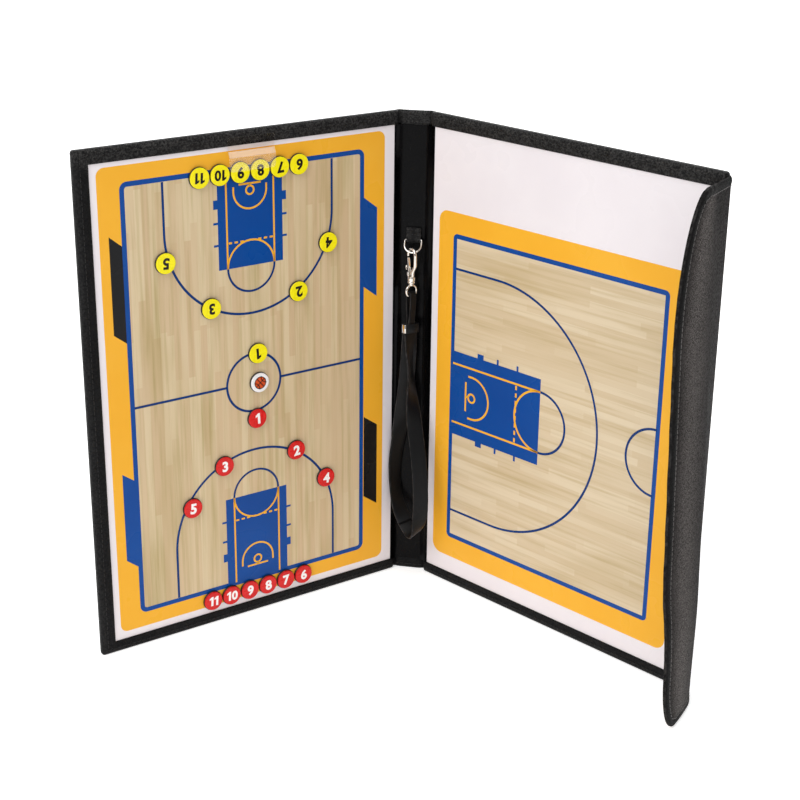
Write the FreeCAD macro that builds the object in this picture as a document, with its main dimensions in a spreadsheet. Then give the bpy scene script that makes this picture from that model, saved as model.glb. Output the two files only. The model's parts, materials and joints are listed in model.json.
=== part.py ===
import FreeCAD, Part
import math
import os
import re

import Sketcher
from FreeCAD import Placement, Rotation, Vector

# Folding basketball tactics board: an A4 leather folder whose two covers hold steel-backed
# court boards, with a wrap-over closing flap, a wrist strap on a snap hook, and numbered
# magnetic discs. Millimetres and degrees. The origin is the foot of the spine, in the plane
# of its outer face, with +Z up and the covers opening towards -Y. Each cover is drawn in a
# frame of its own: X runs from its fold line to its free edge, Y through its thickness.

SIZES = {
    # folder
    "cover_height": 315.0,
    "cover_width": 219.0,
    "spine_width": 22.0,
    "left_angle": 45.5,
    "right_angle": 33.76,
    "fold_gap": 0.1,
    "corner_radius": 2.0,
    # layers of a cover, from the outer skin to the court board
    "leather": 0.9,
    "core_board": 2.2,
    "steel_sheet": 0.3,
    "court_board": 0.7,
    "border": 7.5,
    "board_setback": 4.6,
    "steel_inset": 3.0,
    "board_fit": 0.1,
    # spine
    "spine_board": 1.6,
    "lining": 0.4,
    "lining_reach": 5.35,
    "lining_lift": 0.05,
    "lining_fit": 0.2,
    # closing flap
    "flap_angle": 61.0,
    "flap_skin": 0.9,
    "flap_lining": 0.6,
    "flap_board": 1.0,
    "flap_clearance": 0.3,
    "flap_inset": 1.0,
    "tongue_angle": 11.3,
    "tongue_length": 41.0,
    "tongue_curl": 125.0,
    "corner_run": 24.0,
    "corner_rise": 40.0,
    "flap_board_inset": 4.0,
    "magnet_diameter": 10.0,
    "magnet_thickness": 0.8,
    "magnet_spacing": 120.0,
    "magnet_reach": 22.0,
    "magnet_fit": 0.1,
    # clear pull tab at the head of the left board
    "tab_width": 31.0,
    "tab_sheet": 0.4,
    "tab_drop": 15.0,
    "tab_step": 4.0,
    "tab_flange": 5.0,
    "tab_clearance": 0.35,
    "tab_bend": 1.5,
    # magnetic discs
    "disc_diameter": 13.0,
    "disc_thickness": 2.2,
    "disc_lift": 0.12,
    "row_spacing": 13.45,
    "row_shift": 1.3,
    "top_row_drop": 16.0,
    "bottom_row_rise": 8.75,
    # leather loop and D-ring on the spine
    "hang_offset": 0.5,
    "hang_height": 233.8,
    "loop_leather": 0.8,
    "loop_width": 9.2,
    "loop_height": 7.6,
    "ring_wire": 1.2,
    "ring_corner": 0.75,
    "ring_width": 12.0,
    "ring_drop": 8.83,
    "ring_tilt": 36.5,
    "ring_fit": 0.1,
    # snap hook
    "hook_turn": 46.0,
    "hook_length": 20.0,
    "claw_radius": 3.0,
    "claw_wire": 2.0,
    "claw_clearance": 0.9,
    "claw_foot": 1.3,
    "claw_neck": 7.5,
    "claw_shoulder": 12.0,
    "claw_bend": 2.5,
    "beak_drop": 1.9,
    "barrel_diameter": 5.4,
    "barrel_height": 6.0,
    "lug_reach": 2.2,
    "lug_radius": 1.7,
    "lug_thickness": 3.8,
    "lug_height": 5.5,
    "gate_thickness": 1.7,
    "gate_width": 1.8,
    "gate_boss": 2.4,
    "gate_fit": 0.1,
    "gate_tip_gap": 0.45,
    "pin_diameter": 1.1,
    "pin_fit": 0.05,
    "nub_reach": 2.4,
    "nub_foot": 1.8,
    "nub_height": 3.4,
    "spring_leaf": 0.25,
    "spring_width": 1.2,
    "spring_foot": 0.35,
    "spring_height": 4.7,
    # swivel eye
    "stem_diameter": 2.2,
    "stem_fit": 0.05,
    "stem_head": 3.3,
    "head_height": 1.0,
    "head_room": 0.2,
    "barrel_floor": 1.6,
    "collar_diameter": 3.8,
    "collar_height": 1.3,
    "swivel_gap": 0.2,
    "eye_radius": 3.75,
    "eye_wire": 1.6,
    # wrist strap
    "strap_turn": 45.0,
    "strap_lean": 3.5,
    "strap_width": 10.0,
    "strap_thickness": 1.2,
    "strand_gap": 0.24,
    "neck_width": 4.6,
    "neck_thickness": 1.1,
    "crimp_drop": 18.2,
    "crimp_height": 5.4,
    "crimp_wall": 0.6,
    "crimp_fit": 0.1,
    "crimp_reach": 8.5,
}

# Rest places of discs 1 to 5 on the left court, from the middle of its white field: across
# towards the free edge, and up. The spare discs, 6 to 11, stand in a row at head or foot.
YELLOW_DISCS = [(-1.6, 19.5), (-31.1, 54.5), (29.7, 53.75), (-52.8, 82.5), (58.7, 86.5)]
RED_DISCS = [(-0.1, -23.25), (-28.1, -51.25), (23.9, -50.25), (-50.3, -75.75), (46.9, -73.25)]
BALL_DISC = (-2.3, 0.25)
SPARE_DISCS = range(6, 12)

# Route of the wrist strap below its crimp, and of its narrow neck above the crimp:
# across and up from the lower wire of the swivel eye.
STRAP_ROUTE = [
    (-0.72, -20.9), (-0.72, -34.0), (-3.0, -60.0), (-9.0, -92.0), (-13.4, -122.0),
    (-10.0, -146.0), (-3.6, -160.5), (3.9, -162.5), (10.2, -153.0), (13.2, -136.0),
    (9.4, -108.0), (3.6, -76.0), (0.72, -44.0), (0.72, -20.9),
]
NECK_ROUTE = [
    (-0.7, -20.7), (-0.7, -11.0), (-1.75, -4.0), (-1.75, 2.75),
    (1.75, 2.75), (1.75, -4.0), (0.7, -11.0), (0.7, -20.7),
]
NECK_RADII = [10.0, 10.0, 1.6, 1.6, 10.0, 10.0]

# Depths that several pieces share, as expressions of the driving dimensions.
STACK = "(leather + core_board + steel_sheet + court_board)"
COVER_DEPTH = "(2 * leather + core_board + steel_sheet + court_board)"
SPINE_DEPTH = "(2 * leather + spine_board)"
STRIP_DEPTH = "(flap_skin + flap_lining)"
FLAP_LIP = "(flap_skin + flap_lining + flap_clearance)"
STRIP_RUN = "(spine_width + flap_skin + flap_board + flap_lining + flap_clearance)"
FLAP_HEIGHT = "(cover_height - 2 * flap_inset)"
TONGUE_SWEEP = "(tongue_length / tongue_curl * 180 / pi)"
BAR_DEPTH = "(leather + spine_board + lining + lining_lift + ring_wire / 2 + ring_fit + loop_leather)"
HOOK_DEPTH = f"({BAR_DEPTH} + ring_drop * sin(ring_tilt))"
HOOK_HEIGHT = "(hang_height - ring_drop * cos(ring_tilt))"
EYE_DROP = "(hook_length + swivel_gap + collar_height + eye_radius)"
FIELD_MIDDLE = "((lining_reach + cover_width - border) / 2)"
OVERCUT = "1"

X_AXIS, Y_AXIS, Z_AXIS = Vector(1, 0, 0), Vector(0, 1, 0), Vector(0, 0, 1)
ALONG_X = Rotation(Y_AXIS, 90)
ALONG_Y = Rotation(X_AXIS, -90)

# Sides of the section that round bent wire is drawn with.
WIRE_SIDES = 12

# Frames of the folding pieces: fold line and turn about Z.
FRAMES = {
    "left": ("-spine_width / 2", "0", "(left_angle - 180)"),
    "right": ("spine_width / 2", "0", "(-right_angle)"),
}
FRAMES["strip"] = (
    f"spine_width / 2 + (cover_width + {FLAP_LIP}) * cos(right_angle)",
    f"-(cover_width + {FLAP_LIP}) * sin(right_angle)",
    "(-right_angle - flap_angle)",
)
FRAMES["tongue"] = (
    FRAMES["strip"][0] + f" + {STRIP_RUN} * cos(right_angle + flap_angle)",
    FRAMES["strip"][1] + f" - {STRIP_RUN} * sin(right_angle + flap_angle)",
    "(-right_angle - flap_angle - tongue_angle)",
)

doc = FreeCAD.newDocument("tactics_board")
sheet = doc.addObject("Spreadsheet::Sheet", "Sizes")
for row, (alias, value) in enumerate(SIZES.items(), start=1):
    sheet.set(f"A{row}", alias)
    sheet.set(f"B{row}", str(value))
    sheet.setAlias(f"B{row}", alias)
doc.recompute()

finished = []


def size(alias):
    """Value of one driving dimension."""
    return float(sheet.get(alias))


def bound(text):
    """Expression text with every driving dimension's name pointing at its cell."""
    return re.sub(r"[a-z_]+", lambda word: "Sizes." + word[0] if word[0] in SIZES else word[0], text)


def bind(thing, **sizes):
    """Tie properties of an object to expressions of the driving dimensions."""
    for prop, text in sizes.items():
        thing.setExpression(prop, bound(text))
    return thing


def put(thing, x="0", y="0", z="0"):
    """Tie an object's place to expressions."""
    for axis, text in zip("xyz", (x, y, z)):
        thing.setExpression(f"Placement.Base.{axis}", bound(text))
    return thing


def turn(thing, axis, text):
    """Turn an object about one axis by a tied angle."""
    thing.Placement = Placement(thing.Placement.Base, Rotation(axis, 1))
    thing.setExpression("Placement.Rotation.Angle", bound(text))
    return thing


def seat(thing, frame, x="0", y="0", z="0"):
    """Set an object into the frame of a folding piece, at a point of that frame."""
    fold_x, fold_y, angle = FRAMES[frame]
    put(
        thing,
        f"{fold_x} + ({x}) * cos{angle} - ({y}) * sin{angle}",
        f"{fold_y} + ({x}) * sin{angle} + ({y}) * cos{angle}",
        z,
    )
    return turn(thing, Z_AXIS, angle)


def node(thing, name):
    """Name a finished sub-part."""
    thing.Label = name
    finished.append(thing)
    return thing


def block(name, start, span):
    """Box from a corner with a span along each axis."""
    made = doc.addObject("Part::Box", name)
    bind(made, Length=span[0], Width=span[1], Height=span[2])
    return put(made, *start)


def rod(name, radius, height, start=("0", "0", "0"), along=Rotation()):
    """Cylinder from a start point, along Z turned by a rotation."""
    made = doc.addObject("Part::Cylinder", name)
    bind(made, Radius=radius, Height=height)
    made.Placement = Placement(Vector(), along)
    return put(made, *start)


def wire_section(name, diameter, along=Rotation()):
    """Section of a round wire, many-sided, square to Z turned by a rotation."""
    made = doc.addObject("Part::RegularPolygon", name)
    made.Polygon = WIRE_SIDES
    bind(made, Circumradius=f"{diameter} / 2")
    made.Placement = Placement(Vector(), along)
    return made


def bent_wire(name, section, edges):
    """Solid wire that follows a path of runs and arcs."""
    path = feature(name + "_path", Part.Wire(edges))
    made = doc.addObject("Part::Sweep", name)
    made.Sections = [section]
    made.Spine = (path, [f"Edge{number + 1}" for number in range(len(edges))])
    made.Solid = True
    return made


def fuse(name, things):
    """Union of several objects."""
    made = doc.addObject("Part::MultiFuse", name)
    made.Shapes = things
    made.Refine = True
    return made


def cut(name, base, tools):
    """Base with every tool taken out of it."""
    made = doc.addObject("Part::Cut", name)
    made.Base = base
    made.Tool = tools[0] if len(tools) == 1 else fuse(name + "_tools", tools)
    made.Refine = True
    return made


def common(name, base, tool):
    """What two objects share."""
    made = doc.addObject("Part::Common", name)
    made.Base = base
    made.Tool = tool
    return made


def compound(name, things):
    """Separate solids kept together in one object."""
    made = doc.addObject("Part::Compound", name)
    made.Links = things
    return made


def feature(name, shape):
    """Object that holds a shape made by formula."""
    made = doc.addObject("Part::Feature", name)
    made.Shape = shape
    return made


def padded_profile(name, corners, height, foot="0"):
    """Body with one closed straight-sided profile in the XY plane, padded up along Z."""
    body = doc.addObject("PartDesign::Body", name + "_body")
    sketch = body.newObject("Sketcher::SketchObject", name + "_profile")
    plane = next(origin for origin in body.Origin.OriginFeatures if origin.Role == "XY_Plane")
    sketch.AttachmentSupport = [(plane, "")]
    sketch.MapMode = "FlatFace"
    sketch.setExpression("AttachmentOffset.Base.z", bound(foot))
    count = len(corners)
    circle = [2 * math.pi * i / count for i in range(count)]
    ends = [Vector(math.cos(angle), math.sin(angle), 0) for angle in circle]
    for i in range(count):
        sketch.addGeometry(Part.LineSegment(ends[i], ends[(i + 1) % count]), False)
    for i in range(count):
        sketch.addConstraint(Sketcher.Constraint("Coincident", i, 2, (i + 1) % count, 1))
    for i, (across, along) in enumerate(corners):
        for kind, text, start in (("DistanceX", across, ends[i].x), ("DistanceY", along, ends[i].y)):
            number = sketch.addConstraint(Sketcher.Constraint(kind, -1, 1, i, 1, start))
            sketch.setExpression(f"Constraints[{number}]", bound(text))
    pad = body.newObject("PartDesign::Pad", name + "_pad")
    pad.Profile = sketch
    bind(pad, Length=height)
    return body


def round_free_corners(name, body):
    """Round a padded cover's two corners at its free edge."""
    doc.recompute()
    pad = body.Tip
    chosen = []
    for number, edge in enumerate(pad.Shape.Edges, start=1):
        first, last = (vertex.Point for vertex in (edge.Vertexes[0], edge.Vertexes[-1]))
        at_edge = abs(first.x - size("cover_width")) < 1e-6 and abs(last.x - first.x) < 1e-6
        if at_edge and abs(first.z - last.z) < 1e-6:
            chosen.append(f"Edge{number}")
    fillet = body.newObject("PartDesign::Fillet", name + "_corners")
    fillet.Base = (pad, chosen)
    bind(fillet, Radius="corner_radius")


def shifted(points, shift, normal):
    """Corners of a path moved sideways, to the left of its direction as seen along -normal."""
    sides = [normal.cross((b - a).normalize()) for a, b in zip(points, points[1:])]
    moved = [points[0] + sides[0] * shift]
    for corner, before, after in zip(points[1:-1], sides, sides[1:]):
        moved.append(corner + (before + after) * (shift / (1 + before.dot(after))))
    moved.append(points[-1] + sides[-1] * shift)
    return moved


def rounded_edges(points, radii):
    """Edges of an open path of straight runs joined by tangent arcs."""
    edges = []
    start = points[0]
    for before, corner, after, radius in zip(points, points[1:-1], points[2:], radii):
        run_in = (corner - before).normalize()
        run_out = (after - corner).normalize()
        half_turn = run_in.getAngle(run_out) / 2
        reach = radius * math.tan(half_turn)
        arc_start = corner - run_in * reach
        arc_end = corner + run_out * reach
        inward = (run_out - run_in).normalize()
        arc_middle = corner + inward * (radius / math.cos(half_turn) - radius)
        if arc_start.distanceToPoint(start) > 1e-6:
            edges.append(Part.LineSegment(start, arc_start).toShape())
        edges.append(Part.Arc(arc_start, arc_middle, arc_end).toShape())
        start = arc_end
    edges.append(Part.LineSegment(start, points[-1]).toShape())
    return edges


def strip_face(points, radii, thickness, normal):
    """Face of a strip of even thickness that follows a path of runs and arcs."""
    sides = []
    for shift in (thickness / 2, -thickness / 2):
        own_radii = []
        for before, corner, after, radius in zip(points, points[1:-1], points[2:], radii):
            leftward = normal.dot((corner - before).cross(after - corner)) > 0
            own_radii.append(radius - shift if leftward else radius + shift)
        sides.append(rounded_edges(shifted(points, shift, normal), own_radii))
    left, right = sides
    caps = []
    for end in (0, -1):
        pair = [side[end].Vertexes[end].Point for side in sides]
        caps.append(Part.LineSegment(pair[0], pair[1]).toShape())
    ordered = Part.sortEdges(left + right + caps)[0]
    return Part.Face(Part.Wire(ordered))


def arc_radii(points):
    """Largest tangent arcs that the runs of a soft route leave room for."""
    radii = []
    for before, corner, after in zip(points, points[1:-1], points[2:]):
        half_turn = (corner - before).getAngle(after - corner) / 2
        shorter = min(before.distanceToPoint(corner), corner.distanceToPoint(after))
        radii.append(0.45 * shorter / math.tan(half_turn))
    return radii


def depth(side, start, thickness):
    """Lower Y bound of a layer: the left cover counts inwards along +Y, the right along -Y."""
    return f"{start}" if side > 0 else f"-({start} + {thickness})"


def cover_leather(frame, side):
    """Outer skin of a cover, wrapped round its edges and turned in as a border."""
    name = f"{frame}_cover_leather"
    sign = "" if side > 0 else "-"
    corners = [("fold_gap", "0"), ("cover_width", "0")]
    if frame == "right":
        corners = [
            ("fold_gap", "0"),
            (f"cover_width + {FLAP_LIP} - fold_gap", "0"),
            (f"cover_width + {FLAP_LIP} - fold_gap - leather", "-leather"),
            ("cover_width", "-leather"),
        ]
    corners += [
        ("cover_width", f"{sign}{COVER_DEPTH}"),
        (f"{COVER_DEPTH} + fold_gap", f"{sign}{COVER_DEPTH}"),
    ]
    body = padded_profile(name, corners, "cover_height")
    round_free_corners(name, body)
    inside = f"({STACK} - leather)"
    cavity = block(
        name + "_cavity",
        (f"-{OVERCUT}", depth(side, "leather", inside), "leather"),
        (f"cover_width - leather + {OVERCUT}", inside, "cover_height - 2 * leather"),
    )
    lip = f"(leather + {OVERCUT})"
    window = block(
        name + "_window",
        (f"-{OVERCUT}", depth(side, STACK, lip), "border"),
        (f"cover_width - border + {OVERCUT}", lip, "cover_height - 2 * border"),
    )
    return node(seat(cut(name, body, [cavity, window]), frame), name)


def cover_layer(frame, side, name, start, thickness, inset="0"):
    """One flat board inside a cover, let in from the walls of the leather."""
    made = doc.addObject("Part::Box", name)
    edge = f"(leather + board_fit + {inset})"
    bind(
        made,
        Length=f"cover_width - board_setback - {inset} - {edge}",
        Width=thickness,
        Height=f"cover_height - 2 * {edge}",
    )
    return node(seat(made, frame, f"board_setback + {inset}", depth(side, start, thickness), edge), name)


def cover_boards(frame, side):
    """Core board, steel sheet and court board of one cover."""
    cover_layer(frame, side, f"{frame}_core_board", "leather", "core_board")
    cover_layer(frame, side, f"{frame}_steel_sheet", "(leather + core_board)", "steel_sheet", "steel_inset")
    cover_layer(
        frame, side, f"{frame}_court_board", "(leather + core_board + steel_sheet)", "court_board"
    )


def spine_leather():
    """Skin of the spine, bevelled at both folds and turned in at head and foot."""
    half = "(spine_width / 2 - fold_gap)"
    corners = [
        (f"-{half}", "0"),
        (f"-{half} + {SPINE_DEPTH}", f"-{SPINE_DEPTH}"),
        (f"{half} - {SPINE_DEPTH}", f"-{SPINE_DEPTH}"),
        (half, "0"),
    ]
    body = padded_profile("spine_leather", corners, "cover_height")
    cavity = block(
        "spine_cavity",
        ("-spine_width / 2", "-leather - spine_board", "leather"),
        ("spine_width", "spine_board", "cover_height - 2 * leather"),
    )
    window = block(
        "spine_window",
        ("-spine_width / 2", f"-{SPINE_DEPTH} - {OVERCUT}", "border"),
        ("spine_width", f"leather + {OVERCUT}", "cover_height - 2 * border"),
    )
    return node(cut("spine_leather", body, [cavity, window]), "spine_leather")


def spine_stiffener():
    """Board strip inside the spine."""
    width = "(spine_width - 2 * (leather + spine_board + fold_gap + board_fit))"
    made = block(
        "spine_stiffener",
        (f"-{width} / 2", "-leather - spine_board", "leather + board_fit"),
        (width, "spine_board", "cover_height - 2 * (leather + board_fit)"),
    )
    return node(made, "spine_stiffener")


def spine_lining():
    """Smooth lining that bridges both folds, from one court board over the spine to the other."""
    half_spine = size("spine_width") / 2
    stack = size("leather") + size("core_board") + size("steel_sheet") + size("court_board")
    on_board = stack + size("lining_lift") + size("lining") / 2
    on_spine = size("leather") + size("spine_board") + size("lining") / 2
    past_board = size("board_setback") - size("lining")
    flat_half = half_spine - size("leather") - size("spine_board") - size("lining")

    def over_cover(direction, angle, reach):
        angle = math.radians(angle)
        across = half_spine + reach * math.cos(angle) - on_board * math.sin(angle)
        return Vector(direction * across, -reach * math.sin(angle) - on_board * math.cos(angle), 0)

    reach = size("lining_reach")
    route = [
        over_cover(-1, size("left_angle"), reach),
        over_cover(-1, size("left_angle"), past_board),
        Vector(-flat_half, -on_spine, 0),
        Vector(flat_half, -on_spine, 0),
        over_cover(1, size("right_angle"), past_board),
        over_cover(1, size("right_angle"), reach),
    ]
    fold_radius = 2 * size("lining")
    face = strip_face(route, [fold_radius] * (len(route) - 2), size("lining"), Z_AXIS)
    foot = size("border") + size("lining_fit")
    face.translate(Vector(0, 0, foot))
    height = size("cover_height") - 2 * foot
    return node(feature("spine_lining", face.extrude(Z_AXIS * height)), "spine_lining")


def flap_strip():
    """Part of the flap that covers the fore-edge: skin and lining, bevelled at both folds."""
    far = f"({STRIP_RUN} - fold_gap)"
    for name, start, end in (
        ("flap_strip_leather", "0", "flap_skin"),
        ("flap_strip_lining", "flap_skin", STRIP_DEPTH),
    ):
        corners = [
            (f"fold_gap + {start}", f"-{start}"),
            (f"fold_gap + {end}", f"-{end}"),
            (f"{far} - {end}", f"-{end}"),
            (f"{far} - {start}", f"-{start}"),
        ]
        body = padded_profile(name, corners, FLAP_HEIGHT, "flap_inset")
        node(seat(body, "strip"), name)


def tongue_outline(inset):
    """Outline of the flap's tongue, seen square to it: long rounded corners at head and foot."""
    sweep = size("tongue_length") / size("tongue_curl")
    reach = size("tongue_curl") * math.sin(sweep) - inset
    low = size("flap_inset") + inset
    high = size("cover_height") - low
    run, rise = size("corner_run"), size("corner_rise")
    root = inset if inset else -size("fold_gap")

    def corner(height, toward):
        centre = Vector(reach - run, 0, height + toward * rise)
        tip = centre - Z_AXIS * (toward * rise)
        side = centre + X_AXIS * run
        slant = math.sqrt(0.5)
        middle = centre + X_AXIS * (run * slant) - Z_AXIS * (toward * rise * slant)
        curve = Part.Ellipse(tip, side, centre) if rise > run else Part.Ellipse(side, tip, centre)
        span = sorted(curve.parameter(point) for point in (tip, side))
        if not span[0] <= curve.parameter(middle) <= span[1]:
            span = [span[1], span[0] + 2 * math.pi]
        return tip, side, Part.ArcOfEllipse(curve, *span).toShape()

    foot_tip, foot_side, foot_arc = corner(low, 1)
    head_tip, head_side, head_arc = corner(high, -1)
    root_foot, root_head = Vector(root, 0, low), Vector(root, 0, high)
    sides = [(root_foot, foot_tip), (foot_side, head_side), (head_tip, root_head), (root_head, root_foot)]
    straight = [Part.LineSegment(*pair).toShape() for pair in sides]
    outline = Part.Face(Part.Wire(Part.sortEdges(straight + [foot_arc, head_arc])[0]))
    deep = size("tongue_length")
    outline.translate(Y_AXIS * deep)
    return outline.extrude(Y_AXIS * (-2 * deep))


def tongue_sector(name, start):
    """Sector of a cylinder about the centre of the tongue's curl."""
    made = doc.addObject("Part::Cylinder", name)
    bind(made, Radius=f"tongue_curl - {start}", Height=FLAP_HEIGHT, Angle=TONGUE_SWEEP)
    put(made, "0", "-tongue_curl", "flap_inset")
    return turn(made, Z_AXIS, f"90 - {TONGUE_SWEEP}")


def tongue_layer(name, start, end, inset):
    """One curled layer of the tongue, cut to its outline and bevelled at the fold."""
    inner = tongue_sector(name + "_inner", end)
    ring = cut(name + "_curl", tongue_sector(name + "_outer", start), [inner])
    outline = feature(name + "_outline", tongue_outline(inset))
    wedge = block(
        name + "_bevel",
        (f"fold_gap - 2 * {STRIP_RUN} / sqrt(2)", "0", "0"),
        (f"2 * {STRIP_RUN}", STRIP_RUN, "cover_height"),
    )
    turn(wedge, Z_AXIS, "-45")
    return cut(name + "_shape", common(name + "_trim", ring, outline), [wedge])


def flap_tongue():
    """Part of the flap that lies over the left cover: skin, stiffener, magnets and lining."""
    under_board = "(flap_skin + flap_board)"
    skin = tongue_layer("flap_tongue_leather", "0", "flap_skin", 0)
    node(seat(skin, "tongue"), "flap_tongue_leather")
    lining = tongue_layer("flap_tongue_lining", under_board, f"({STRIP_DEPTH} + flap_board)", 0)
    node(seat(lining, "tongue"), "flap_tongue_lining")
    turned = math.degrees(size("magnet_reach") / size("tongue_curl"))
    across = Rotation(Z_AXIS, -turned).multiply(Rotation(X_AXIS, -90))
    levels = ["cover_height / 2 - magnet_spacing / 2", "cover_height / 2 + magnet_spacing / 2"]
    angle = "(magnet_reach / tongue_curl * 180 / pi)"

    def discs(name, radius, thickness):
        made = []
        for number, level in enumerate(levels, start=1):
            start = f"(tongue_curl - flap_skin - flap_board / 2 - {thickness} / 2)"
            place = (f"{start} * sin{angle}", f"{start} * cos{angle} - tongue_curl", level)
            made.append(rod(f"{name}_{number}", radius, thickness, place, across))
        return made

    holes = discs("flap_magnet_hole", "magnet_diameter / 2 + magnet_fit", "(3 * flap_board)")
    board = tongue_layer("flap_tongue_stiffener", "flap_skin", under_board, size("flap_board_inset"))
    node(seat(cut("flap_tongue_stiffener", board, holes), "tongue"), "flap_tongue_stiffener")
    magnets = compound("flap_magnets", discs("flap_magnet", "magnet_diameter / 2", "magnet_thickness"))
    node(seat(magnets, "tongue"), "flap_magnets")


def clear_tab():
    """Clear plastic tab stuck to the left border, stepped forward over the top row of discs."""
    stack = size("leather") + size("core_board") + size("steel_sheet") + size("court_board")
    half_sheet = size("tab_sheet") / 2
    on_border = stack + size("leather") + size("lining_lift") + half_sheet
    over_discs = stack + size("disc_lift") + size("disc_thickness") + size("tab_clearance") + half_sheet
    border_edge = size("cover_height") - size("border")
    route = [
        Vector(0, on_border, border_edge + size("tab_flange")),
        Vector(0, on_border, border_edge + half_sheet),
        Vector(0, over_discs, border_edge - size("tab_step")),
        Vector(0, over_discs, border_edge - size("tab_drop")),
    ]
    face = strip_face(route, [size("tab_bend")] * 2, size("tab_sheet"), X_AXIS)
    made = feature("clear_tab", face.extrude(X_AXIS * size("tab_width")))
    return node(seat(made, "left", f"{FIELD_MIDDLE} - tab_width / 2"), "clear_tab")


def disc(name, across, up):
    """Numbered disc: a coloured cap round a flat magnet, resting on the left court board."""
    cap = rod(name + "_cap", "disc_diameter / 2", "disc_thickness", along=ALONG_Y)
    return node(seat(compound(name, [cap]), "left", across, f"{STACK} + disc_lift", up), name)


def disc_team(colour, places, row_level):
    """All discs of one colour: five on the court and the spare ones in their row."""
    for number, (across, up) in enumerate(places, start=1):
        middle = (f"{FIELD_MIDDLE} + ({across})", f"cover_height / 2 + ({up})")
        disc(f"{colour}_disc_{number}", *middle)
    row_middle = (SPARE_DISCS[0] + SPARE_DISCS[-1]) / 2
    for number in SPARE_DISCS:
        across = f"{FIELD_MIDDLE} + row_shift + ({number - row_middle}) * row_spacing"
        disc(f"{colour}_disc_{number}", across, row_level)


def strap_loop():
    """Leather loop sewn to the spine, folded round the straight bar of the D-ring."""
    fold = "(ring_wire / 2 + ring_fit + loop_leather)"
    left_side = "hang_offset - loop_width / 2"
    flat = block(
        "loop_flat",
        (left_side, f"-{BAR_DEPTH} + {fold} - 2 * loop_leather", "hang_height"),
        ("loop_width", "2 * loop_leather", "loop_height"),
    )
    fold_tube = rod("loop_fold", fold, "loop_width", (left_side, f"-{BAR_DEPTH}", "hang_height"), ALONG_X)
    bore = rod(
        "loop_bore",
        "ring_wire / 2 + ring_fit",
        f"loop_width + 2 * {OVERCUT}",
        (f"{left_side} - {OVERCUT}", f"-{BAR_DEPTH}", "hang_height"),
        ALONG_X,
    )
    return node(cut("strap_loop", fuse("loop_leather_fold", [flat, fold_tube]), [bore]), "strap_loop")


def d_ring():
    """D-shaped wire ring, leaning forward from its bar in the leather loop."""
    bow = (size("ring_width") - size("ring_wire")) / 2
    corners = [(0, 0), (bow, 0), (bow, -1), (-bow, -1), (-bow, 0), (0, 0)]
    route = [Vector(across, 0, level * size("ring_drop")) for across, level in corners]
    radii = [size("ring_corner"), bow, bow, size("ring_corner")]
    section = wire_section("ring_section", "ring_wire", ALONG_X)
    made = compound("d_ring", [bent_wire("ring_wire_loop", section, rounded_edges(route, radii))])
    put(made, "hang_offset", f"-{BAR_DEPTH}", "hang_height")
    return node(turn(made, X_AXIS, "-ring_tilt"), "d_ring")


def hook_seat(thing):
    """Hang a piece of the snap hook on the lowest point of the D-ring."""
    put(thing, "hang_offset", f"-{HOOK_DEPTH}", HOOK_HEIGHT)
    return turn(thing, Z_AXIS, "-hook_turn")


def hook_body():
    """Cast hook: barrel for the swivel, forked lug for the gate and a round claw with its beak."""
    bow = size("claw_radius") + size("claw_wire") / 2
    crown = size("ring_wire") / 2 + size("claw_clearance") - size("claw_radius") + bow
    foot = -size("hook_length") + size("barrel_floor") + size("head_height") + 2 * size("head_room")
    route = [
        Vector(size("claw_foot"), 0, foot + size("claw_bend") / 2),
        Vector(size("claw_foot"), 0, -size("hook_length") + size("claw_neck")),
        Vector(bow, 0, -size("hook_length") + size("claw_shoulder")),
        Vector(bow, 0, crown),
        Vector(-bow, 0, crown),
        Vector(-bow, 0, crown - bow - size("beak_drop")),
    ]
    section = wire_section("claw_section", "claw_wire")
    section.Placement.Base = route[0]
    claw = bent_wire("hook_claw", section, rounded_edges(route, [size("claw_bend")] * 2 + [bow] * 2))
    barrel = rod("hook_barrel", "barrel_diameter / 2", "barrel_height", ("0", "0", "-hook_length"))
    pivot = ("-lug_reach", "-lug_thickness / 2", "-hook_length + lug_height")
    lug = rod("hook_lug", "lug_radius", "lug_thickness", pivot, ALONG_Y)
    solid = fuse("hook_solid", [claw, barrel, lug])
    slot_half = "(gate_thickness / 2 + gate_fit)"
    boss_room = "(gate_boss / 2 + 2 * gate_fit)"
    slot = block(
        "gate_slot",
        (
            f"-lug_reach - lug_radius - {OVERCUT}",
            f"-{slot_half}",
            f"-hook_length + lug_height - {boss_room}",
        ),
        (
            f"lug_radius + {OVERCUT} + {boss_room}",
            f"2 * {slot_half}",
            f"{boss_room} + lug_radius + {OVERCUT}",
        ),
    )
    pin_hole = rod(
        "pin_hole",
        "pin_diameter / 2 + pin_fit",
        f"lug_thickness + 2 * {OVERCUT}",
        ("-lug_reach", f"-lug_thickness / 2 - {OVERCUT}", "-hook_length + lug_height"),
        ALONG_Y,
    )
    bore = rod(
        "stem_bore",
        "stem_diameter / 2 + stem_fit",
        f"barrel_floor + {OVERCUT} + head_room",
        ("0", "0", f"-hook_length - {OVERCUT}"),
    )
    chamber = rod(
        "head_chamber",
        "stem_head / 2 + head_room",
        "head_height + 2 * head_room",
        ("0", "0", "-hook_length + barrel_floor"),
    )
    return node(hook_seat(cut("hook_body", solid, [slot, pin_hole, bore, chamber])), "hook_body")


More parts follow.
